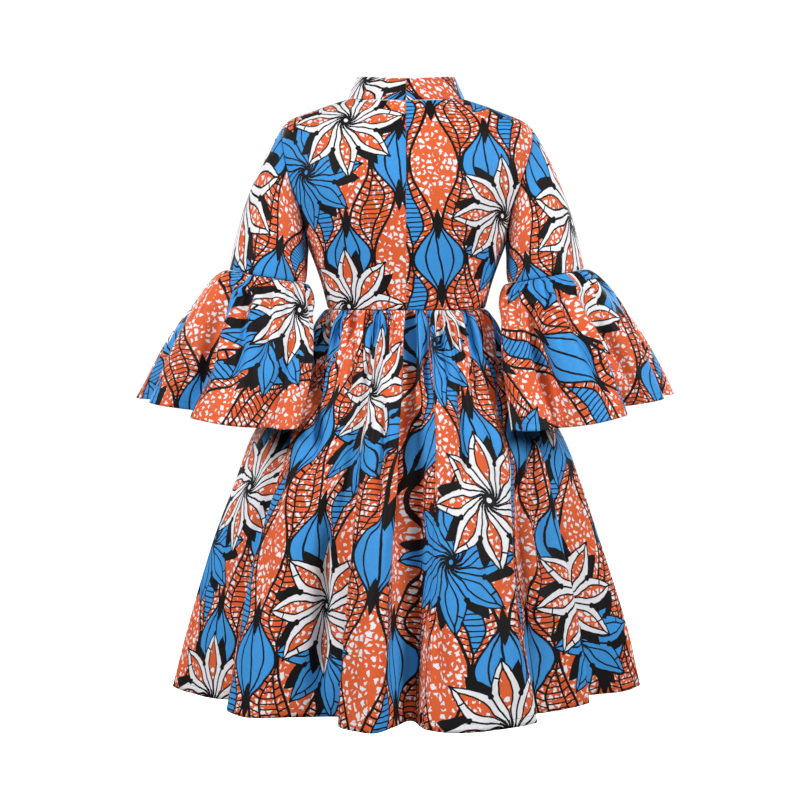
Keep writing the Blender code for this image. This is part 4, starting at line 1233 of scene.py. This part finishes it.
class StageSettings(bpy.types.PropertyGroup):
    """Camera, floor and lights."""

    distance: sized("Camera distance", "Distance from the dress", 2.5)
    height: sized("Camera height", "Height of the level camera", -0.2896)
    lens: sized("Lens", "Focal length in millimetres", 70.3125, "CAMERA")
    floor: sized("Floor", "Height of the floor", -1.45)
    side_light: sized("Side lights", "Watts of each side light", 92.0, "POWER")
    front_light: sized("Front light", "Watts of the front light", 24.0, "POWER")
    floor_glow: sized("Floor glow", "Light of the floor's own", 1.0, "NONE")
    sky: sized("Sky", "Strength of the even light all round", 0.03, "NONE")


# Operators -------------------------------------------------------------------------------------


SENSOR = 36.0
CAMERA_SHIFT = (-0.0075, -0.14875)
FLOOR_SIZE = 24.0
LIGHT_AIM = (0.0, 0.0, -0.45)
REAR_SHARE = 0.7  # of a side light's power
BACKGROUND = 1.05  # strength of the sky that the camera sees
OPEN_WHITE = (1.0, 1.0, 1.0, 1.0)


class DRESS_OT_stage(bpy.types.Operator):
    """Add the camera, the pale floor and the soft lights"""

    bl_idname = "wax_dress.stage"
    bl_label = "Stage"

    def execute(self, context):
        stage = context.scene.dress_stage
        self.camera(context, stage)
        self.floor(context, stage)
        rear_light = stage.side_light * REAR_SHARE
        self.light("left", (-2.7, -1.9, 0.9), 1.0, stage.side_light)
        self.light("right", (2.7, -1.9, 0.9), 1.0, stage.side_light)
        self.light("front", (0.0, -3.2, 0.9), 1.0, stage.front_light)
        self.light("rear left", (-2.2, 2.4, 0.9), 1.4, rear_light)
        self.light("rear right", (2.2, 2.4, 0.9), 1.4, rear_light)
        self.sky(context, stage)
        context.scene.view_settings.view_transform = "Standard"
        return {"FINISHED"}

    def camera(self, context, stage):
        """A level camera behind the dress."""
        bpy.ops.object.select_all(action="DESELECT")
        bpy.ops.object.camera_add(
            location=(0.0, -stage.distance, stage.height), rotation=(math.pi / 2, 0.0, 0.0)
        )
        camera = context.object
        camera.name = "camera"
        camera.data.lens = stage.lens
        camera.data.sensor_width = SENSOR
        camera.data.shift_x, camera.data.shift_y = CAMERA_SHIFT
        context.scene.camera = camera

    def floor(self, context, stage):
        """A wide pale floor with a glow of its own, which throws no light on the dress."""
        bpy.ops.mesh.primitive_plane_add(size=FLOOR_SIZE, location=(0.0, 0.0, stage.floor))
        floor = context.object
        floor.name = "floor"
        graph = Graph("pale floor")
        grain = graph.signal(graph.add("ShaderNodeTexNoise", Scale=3.0))
        pale = graph.mix(grain, linear(srgb(247, 247, 247)), linear(srgb(252, 252, 252)))
        graph.feed(graph.shader.inputs["Base Color"], pale)
        graph.feed(graph.shader.inputs["Emission Color"], OPEN_WHITE)
        graph.feed(graph.shader.inputs["Emission Strength"], stage.floor_glow)
        graph.feed(graph.shader.inputs["Roughness"], 0.9)
        floor.visible_diffuse = False
        floor.visible_glossy = False
        floor.data.materials.append(graph.material)

    def light(self, name, place, size, power):
        """A square soft light that looks at the middle of the dress."""
        way = Vector(LIGHT_AIM) - Vector(place)
        turn = way.to_track_quat("-Z", "Y").to_euler()
        bpy.ops.object.light_add(type="AREA", location=place, rotation=turn)
        light = bpy.context.object
        light.name = name + " light"
        light.data.size = size
        light.data.energy = power

    def sky(self, context, stage):
        """An even faint light all round, which the camera sees as white."""
        world = bpy.data.worlds.new("even light")
        world.use_nodes = True
        nodes = world.node_tree.nodes
        backing = nodes["Background"]
        backing.inputs["Color"].default_value = OPEN_WHITE
        seen = nodes.new("ShaderNodeLightPath")
        strength = nodes.new("ShaderNodeMix")
        strength.inputs[2].default_value = stage.sky
        strength.inputs[3].default_value = BACKGROUND
        world.node_tree.links.new(seen.outputs["Is Camera Ray"], strength.inputs[0])
        world.node_tree.links.new(strength.outputs[0], backing.inputs["Strength"])
        context.scene.world = world


def bodice_panel(context, name, node, start, stop, edges, *pin):
    """One bodice panel between two turns. A side edge follows the armhole."""
    width = abs(stop - start) * BODICE_REACH
    share = edge_shares(width, round(width / context.scene.dress.step))
    low = np.array(EDGE_STEPS) / BODICE_RING_GAP
    high = (len(BODICE_RINGS) - 1) - low[::-1]
    below, beside, above = BODICE_ROWS
    rows = np.concatenate(
        (
            low,
            np.linspace(low[-1], UNDERARM_RING, below)[1:-1],
            spread_rows(UNDERARM_RING, TIP_RING, beside),
            np.linspace(TIP_RING, high[0], above)[1:-1],
            high,
        )
    )
    opening = arm_turn(rows)[:, None]
    first = start + (opening if edges[0] == "side" else 0.0)
    last = stop - (opening if edges[1] == "side" else 0.0)
    turn = first + (last - first) * share[None, :]
    points = bodice_point(turn, rows[:, None] + 0 * turn)
    normals = grid_normals(points, False)
    across = run_lengths(points, 1)
    up = run_lengths(points, 0)
    ends = np.minimum(across, across[:, -1:] - across)
    ends = np.minimum(ends, np.minimum(up, up[-1:] - up))
    column = across.shape[1] // 2
    if "seam" in edges:
        column = 0 if edges[0] == "seam" else -1
    rise = BODICE_GRAIN * up + (1 - BODICE_GRAIN) * up[:, [column]]
    flat = np.stack((across - across[:, [column]], rise), axis=-1)
    part_edges(points)
    points[0, :, 2] += SEAM / 2
    points = creased(points, normals)
    points = rumpled(points, normals, across / across[:, -1:], up, ends, RIPPLE_DEPTHS["bodice"])
    points = sunk_edges(points, normals, ends)
    sew(name, node, points, flat, "stretched", pin)


class DRESS_OT_bodice(bpy.types.Operator):
    """Add the bodice: two back panels and one front panel"""

    bl_idname = "wax_dress.bodice"
    bl_label = "Bodice"

    def execute(self, context):
        quarter = math.pi / 2
        panels = (
            ("cloth_bodice_back_right", "back_bodice_right", -quarter, 0.0, ("seam", "side"),
             (0.1497, -0.188), -1.0, "second flower", math.radians(-95.5)),
            ("cloth_bodice_front", "front_bodice", 0.0, math.pi, ("side", "side"),
             (-0.055, -0.150), 1.0, "first flower"),
            ("cloth_bodice_back_left", "back_bodice_left", math.pi, 3 * quarter, ("side", "seam"),
             (-0.0941, -0.0396), -1.0, "first flower"),
        )
        for panel in panels:
            bodice_panel(context, *panel)
        return {"FINISHED"}


class DRESS_OT_collar(bpy.types.Operator):
    """Add the stand collar, open at centre back"""

    bl_idname = "wax_dress.collar"
    bl_label = "Stand collar"

    def execute(self, context):
        turn = -math.pi / 2 + 2 * math.pi * edge_shares(COLLAR_SIZE[0], COLLAR_COUNTS[0])
        share = edge_shares(COLLAR_SIZE[1], COLLAR_COUNTS[1])[:, None]
        points = ring_point(collar_ring(share[..., None]), turn[None, :] + 0 * share)
        points[..., 2] += SEAM * (1 - share)
        gap = COLLAR_END_GAP[0] + (COLLAR_END_GAP[1] - COLLAR_END_GAP[0]) * share[:, 0] ** 2
        points[:, 0, 0] += gap
        points[:, -1, 0] -= gap
        normals = grid_normals(points, False)
        across = run_lengths(points, 1)
        up = run_lengths(points, 0)
        cut = np.stack((across - across[:, [COLLAR_MIDDLE]], up), axis=-1)
        start, length = COLLAR_SLANT_SHARES
        past = ease(np.clip((across / across[:, -1:] - start) / length, 0.0, 1.0))
        flat = cut + COLLAR_SLANT * past[..., None]
        low = context.scene.wax_print.stitch_height - COLLAR_STITCHES
        hem = np.stack((across, up[-1] - up + low), axis=-1)
        points = sunk_edges(points, normals, up)
        pin = ((-0.057, 0.030),)
        name = "cloth_stand_collar"
        sew(name, "stand_collar", points, flat, "stretched", pin, cut=cut, layers=2, hem=hem)
        return {"FINISHED"}


def skirt_piece(context, name, node, start, stop, *pin):
    """One skirt panel between two gather waves."""
    columns = round((stop - start) * context.scene.dress.gather_columns)
    close = np.array(EDGE_STEPS[:4]) / SKIRT_WAVE_WIDTH
    even = np.linspace(start + SKIRT_SEAM_SHARE, stop - SKIRT_SEAM_SHARE, columns)
    wave = np.concatenate((start + close, even, stop - close[::-1]))
    upper, lower = (np.linspace(*rows) for rows in SKIRT_ROWS)
    drop = np.concatenate((EDGE_STEPS[:5], upper, lower[1:]))
    waves, drops = np.meshgrid(wave, drop)
    plan = skirt_point(waves, drops)
    points = np.concatenate((plan, (WAIST_Z - SEAM / 2 - drops)[..., None]), axis=-1)
    part_edges(points)
    normals = -grid_normals(points, False)
    across = run_lengths(points, 1)
    down = run_lengths(points, 0).mean(axis=1, keepdims=True)
    share = across / across[:, -1:]
    ends = np.minimum(np.minimum(across, across[:, -1:] - across), drops)
    points, run_on = furrowed(points, normals, SKIRT_FURROWS, 0.0, WAIST_Z, True)
    hidden = SKIRT_TUCK * (0.5 + 0.5 * np.tanh((waves - SKIRT_TUCK_WAVE) / SKIRT_TUCK_WIDTH))
    opened = ease(np.clip((drops - SKIRT_TUCK_DROPS[0]) / SKIRT_TUCK_DROPS[1], 0.0, 1.0))
    pitch = SKIRT_CLOTH[0] + (SKIRT_CLOTH[1] - SKIRT_CLOTH[0]) * drops / drop[-1]
    laid = (waves - (start + stop) / 2) * pitch + run_on + hidden * opened
    flat = np.stack((laid, -SKIRT_PRINT_DROP * down + 0 * waves), axis=-1)
    points = rumpled(points, normals, share, down, ends, RIPPLE_DEPTHS["skirt"])
    points = puckered(points, normals, share, down)
    points = sunk_edges(points, normals, ends)
    hem = np.stack((across, down[-1] - down + 0 * waves), axis=-1)
    sew(name, node, points, flat, "gathered", pin, turned=True, hem=hem)


class DRESS_OT_skirt(bpy.types.Operator):
    """Add the gathered skirt: two back panels and one front panel"""

    bl_idname = "wax_dress.skirt"
    bl_label = "Skirt"

    def execute(self, context):
        right, left = SIDE_SEAM_WAVES
        panels = (
            ("cloth_skirt_back_right", "skirt_back_right", SKIRT_SEAM_WAVE, right,
             (0.1226, -0.618), -1.0, "first flower"),
            ("cloth_skirt_front", "skirt_front", right, left, (0.02, -0.60), 1.0, "first flower"),
            ("cloth_skirt_back_left", "skirt_back_left", left, WAIST_GATHERS + SKIRT_SEAM_WAVE,
             (-0.0532, -0.4538), -1.0, "second flower"),
        )
        for panel in panels:
            skirt_piece(context, *panel)
        return {"FINISHED"}


class DRESS_OT_sleeves(bpy.types.Operator):
    """Add both sleeves"""

    bl_idname = "wax_dress.sleeves"
    bl_label = "Sleeves"

    def execute(self, context):
        for side, flower in (("left", (-0.2576, -0.162)), ("right", (0.262, -0.198))):
            rows = edge_shares(SLEEVE_LENGTH, SLEEVE_COUNTS[0])
            whole = sleeve_grid(side, rows, SLEEVE_COUNTS[1])
            points = whole[:, :-1]
            normals, turned = outward_normals(points)
            across = run_lengths(whole, 1)
            down = run_lengths(whole, 0)
            share = across / across[:, -1:]
            laid = (share - 0.5) * across[:, -1].mean()
            flat = np.stack((laid, 0 * share - down.mean(axis=1, keepdims=True)), axis=-1)
            ends = np.minimum(down, down[-1:] - down)[:, :-1]
            down = down[:, :-1]
            points = creased(points, normals)
            points = rumpled(points, normals, share[:, :-1], down, ends, RIPPLE_DEPTHS["sleeve"])
            points = sunk_edges(points, normals, ends)
            name = "sleeve_" + side
            pin = (flower, -1.0, "second flower")
            sew("cloth_" + name, name, points, flat, "stretched", pin, closed=True, turned=turned)
        return {"FINISHED"}


class DRESS_OT_flounces(bpy.types.Operator):
    """Add the gathered flounce below each sleeve"""

    bl_idname = "wax_dress.flounces"
    bl_label = "Flounces"

    def execute(self, context):
        columns = FLOUNCE_GATHERS * context.scene.dress.gather_columns
        wave = np.linspace(0.0, FLOUNCE_GATHERS, columns + 1)
        close = np.array(EDGE_STEPS[:5]) / FLOUNCE_LENGTH
        waves, ways = np.meshgrid(wave, np.concatenate((close, np.linspace(*FLOUNCE_ROWS))))
        pins = {
            "left": ((-0.165, -0.335), -1.0, "second flower", math.radians(-139)),
            "right": ((0.257, -0.403), -1.0, "blue bulb", math.radians(-38)),
        }
        for side, pin in pins.items():
            whole = flounce_grid(side, ways, waves)
            points = whole[:, :-1]
            normals, turned = outward_normals(points)
            down = run_lengths(whole, 0).mean(axis=1, keepdims=True)
            points, run_on = furrowed(
                points, normals, FLOUNCE_FURROWS[side], FLOUNCE_MIDDLE[1], FLOUNCE_SEAM_Z, False
            )
            radius = FLOUNCE_INNER + down
            angle = (waves / FLOUNCE_GATHERS - 0.5) * FLOUNCE_SWEEP + lapped(run_on) / radius
            angle = -angle if side == "right" else angle
            flat = np.stack((radius * np.sin(angle), -radius * np.cos(angle)), axis=-1)
            ends = (ways * FLOUNCE_LENGTH)[:, :-1]
            share = waves[:, :-1] / FLOUNCE_GATHERS
            points = rumpled(points, normals, share, down, ends, RIPPLE_DEPTHS["flounce"])
            points = puckered(points, normals, share, down)
            points = sunk_edges(points, normals, ends)
            hem = np.stack((run_lengths(lapped(points), 1), down[-1] - down + 0 * waves), axis=-1)
            name = "flounce_" + side
            ring = {"closed": True, "turned": turned, "hem": hem}
            sew("cloth_" + name, name, points, flat, "gathered", pin, **ring)
        return {"FINISHED"}


ZIP_END = 0.08  # in bodice rings from the waist
ZIP_POINTS = 90
ZIP_COLLAR = (0.90, 0.08, 8)  # first share of the collar's height, last share, count
COIL_SINK = 0.7  # depth of the coil's middle behind the tape's face, in coil radiuses
COIL_WIDTH = 1.5  # beside its height
COIL_SIDES = 10
SLIDER_POINT = 2  # point of the zip at which the slider sits
SLIDER_PARTS = (
    # name, place from the zip, size
    ("body", (0.0, 0.0012, 0.0), (0.0062, 0.0034, 0.0085)),
    ("bridge", (0.0, 0.0036, -0.0004), (0.0024, 0.0020, 0.0050)),
    ("pull", (0.0, 0.0040, -0.0120), (0.0040, 0.0010, 0.0180)),
)
SLIDER_ROUNDING = 0.0004


def zip_line(depth):
    """Points down the middle of the zip, a depth in from the cloth's outer face, and the way in."""
    rows = np.linspace(len(BODICE_RINGS) - 1, ZIP_END, ZIP_POINTS)
    turn = np.full(ZIP_POINTS, -math.pi / 2)
    inward = -bodice_normal(turn, rows)
    points = bodice_point(turn, rows) + inward * depth
    rise = np.linspace(*ZIP_COLLAR)[:, None]
    level = np.repeat([[0.0, 1.0, 0.0]], len(rise), axis=0)
    collar = ring_point(collar_ring(rise), turn[: len(rise)]) + level * depth
    return np.concatenate((collar, points)), np.concatenate((level, inward))


class DRESS_OT_zip(bpy.types.Operator):
    """Give the zip its woven tape, its coil and the slider at its top"""

    bl_idname = "wax_dress.zip"
    bl_label = "Zip"

    def execute(self, context):
        dress = context.scene.dress
        tape = bpy.data.objects["zip"].data.materials
        tape.clear()
        tape.append(ribbed_material("zip tape", linear(srgb(228, 220, 214)), 0.7))
        middle, inward = zip_line(dress.zip_depth + dress.coil_radius * COIL_SINK)
        coil = self.coil(context, middle, inward, dress.coil_radius)
        slider = self.slider(middle[SLIDER_POINT])
        coil.data.materials.append(ribbed_material("zip coil", linear(srgb(205, 196, 188)), 0.4))
        slider.data.materials.append(ribbed_material("zip slider", linear(srgb(188, 186, 182)), 0.32))
        for piece in (coil, slider):
            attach(piece, "root")
        return {"FINISHED"}

    def coil(self, context, middle, inward, radius):
        """The closed coil, a flattened cord along the zip."""
        turn = np.linspace(0, 2 * math.pi, COIL_SIDES + 1)[:-1]
        across = np.array((1.0, 0.0, 0.0)) * np.cos(turn)[None, :, None] * radius * COIL_WIDTH
        points = middle[:, None] + across + inward[:, None] * np.sin(turn)[None, :, None] * radius
        index = np.arange(len(middle) * COIL_SIDES).reshape(-1, COIL_SIDES)
        faces = squares(lapped(index)[..., None])[..., 0].reshape(-1, 4).tolist()
        faces += [index[0].tolist(), index[-1, ::-1].tolist()]
        mesh = bpy.data.meshes.new("zip_coil")
        mesh.from_pydata(points.reshape(-1, 3).tolist(), [], faces)
        mesh.shade_smooth()
        coil = bpy.data.objects.new("zip_coil", mesh)
        context.scene.collection.objects.link(coil)
        return coil

    def slider(self, place):
        """The slider's body with its pull hanging inside."""
        made = []
        for name, offset, size in SLIDER_PARTS:
            bpy.ops.object.select_all(action="DESELECT")
            bpy.ops.mesh.primitive_cube_add(
                size=1.0, location=tuple(np.array(offset) + place), calc_uvs=False
            )
            part = bpy.context.object
            part.name = "zip_slider_" + name
            part.scale = size
            bpy.ops.object.transform_apply(location=True, rotation=True, scale=True)
            edge = part.modifiers.new("rounded edges", "BEVEL")
            edge.width = SLIDER_ROUNDING
            edge.segments = 3
            bpy.ops.object.modifier_apply(modifier=edge.name)
            made.append(part)
        bpy.ops.object.select_all(action="DESELECT")
        for part in made:
            part.select_set(True)
        bpy.context.view_layer.objects.active = made[0]
        bpy.ops.object.join()
        whole = bpy.context.object
        whole.name = "zip_slider"
        return whole


class DRESS_PT_panel(bpy.types.Panel):
    """Lists the dress's pieces"""

    bl_idname = "DRESS_PT_panel"
    bl_label = "Wax print dress"
    bl_space_type = "VIEW_3D"
    bl_region_type = "UI"
    bl_category = "Dress"

    def draw(self, context):
        for operator in OPERATORS:
            self.layout.operator(operator.bl_idname)


GROUPS = (WaxPrintSettings, DressSettings, StageSettings)
OPERATORS = (
    DRESS_OT_stage,
    DRESS_OT_bodice,
    DRESS_OT_collar,
    DRESS_OT_skirt,
    DRESS_OT_sleeves,
    DRESS_OT_flounces,
    DRESS_OT_zip,
)


def register():
    for kind in GROUPS + OPERATORS + (DRESS_PT_panel,):
        bpy.utils.register_class(kind)
    bpy.types.Scene.wax_print = bpy.props.PointerProperty(type=WaxPrintSettings)
    bpy.types.Scene.dress = bpy.props.PointerProperty(type=DressSettings)
    bpy.types.Scene.dress_stage = bpy.props.PointerProperty(type=StageSettings)


def unregister():
    del bpy.types.Scene.dress_stage
    del bpy.types.Scene.dress
    del bpy.types.Scene.wax_print
    for kind in reversed(GROUPS + OPERATORS + (DRESS_PT_panel,)):
        bpy.utils.unregister_class(kind)


def corners(box):
    return [[float(value) for value in corner] for corner in box]


def main():
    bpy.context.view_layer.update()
    register()
    bpy.ops.wax_dress.stage()
    bpy.ops.wax_dress.bodice()
    bpy.ops.wax_dress.collar()
    bpy.ops.wax_dress.skirt()
    bpy.ops.wax_dress.sleeves()
    bpy.ops.wax_dress.flounces()
    bpy.ops.wax_dress.zip()
    bpy.context.view_layer.update()


if __name__ == "__main__":
    main()
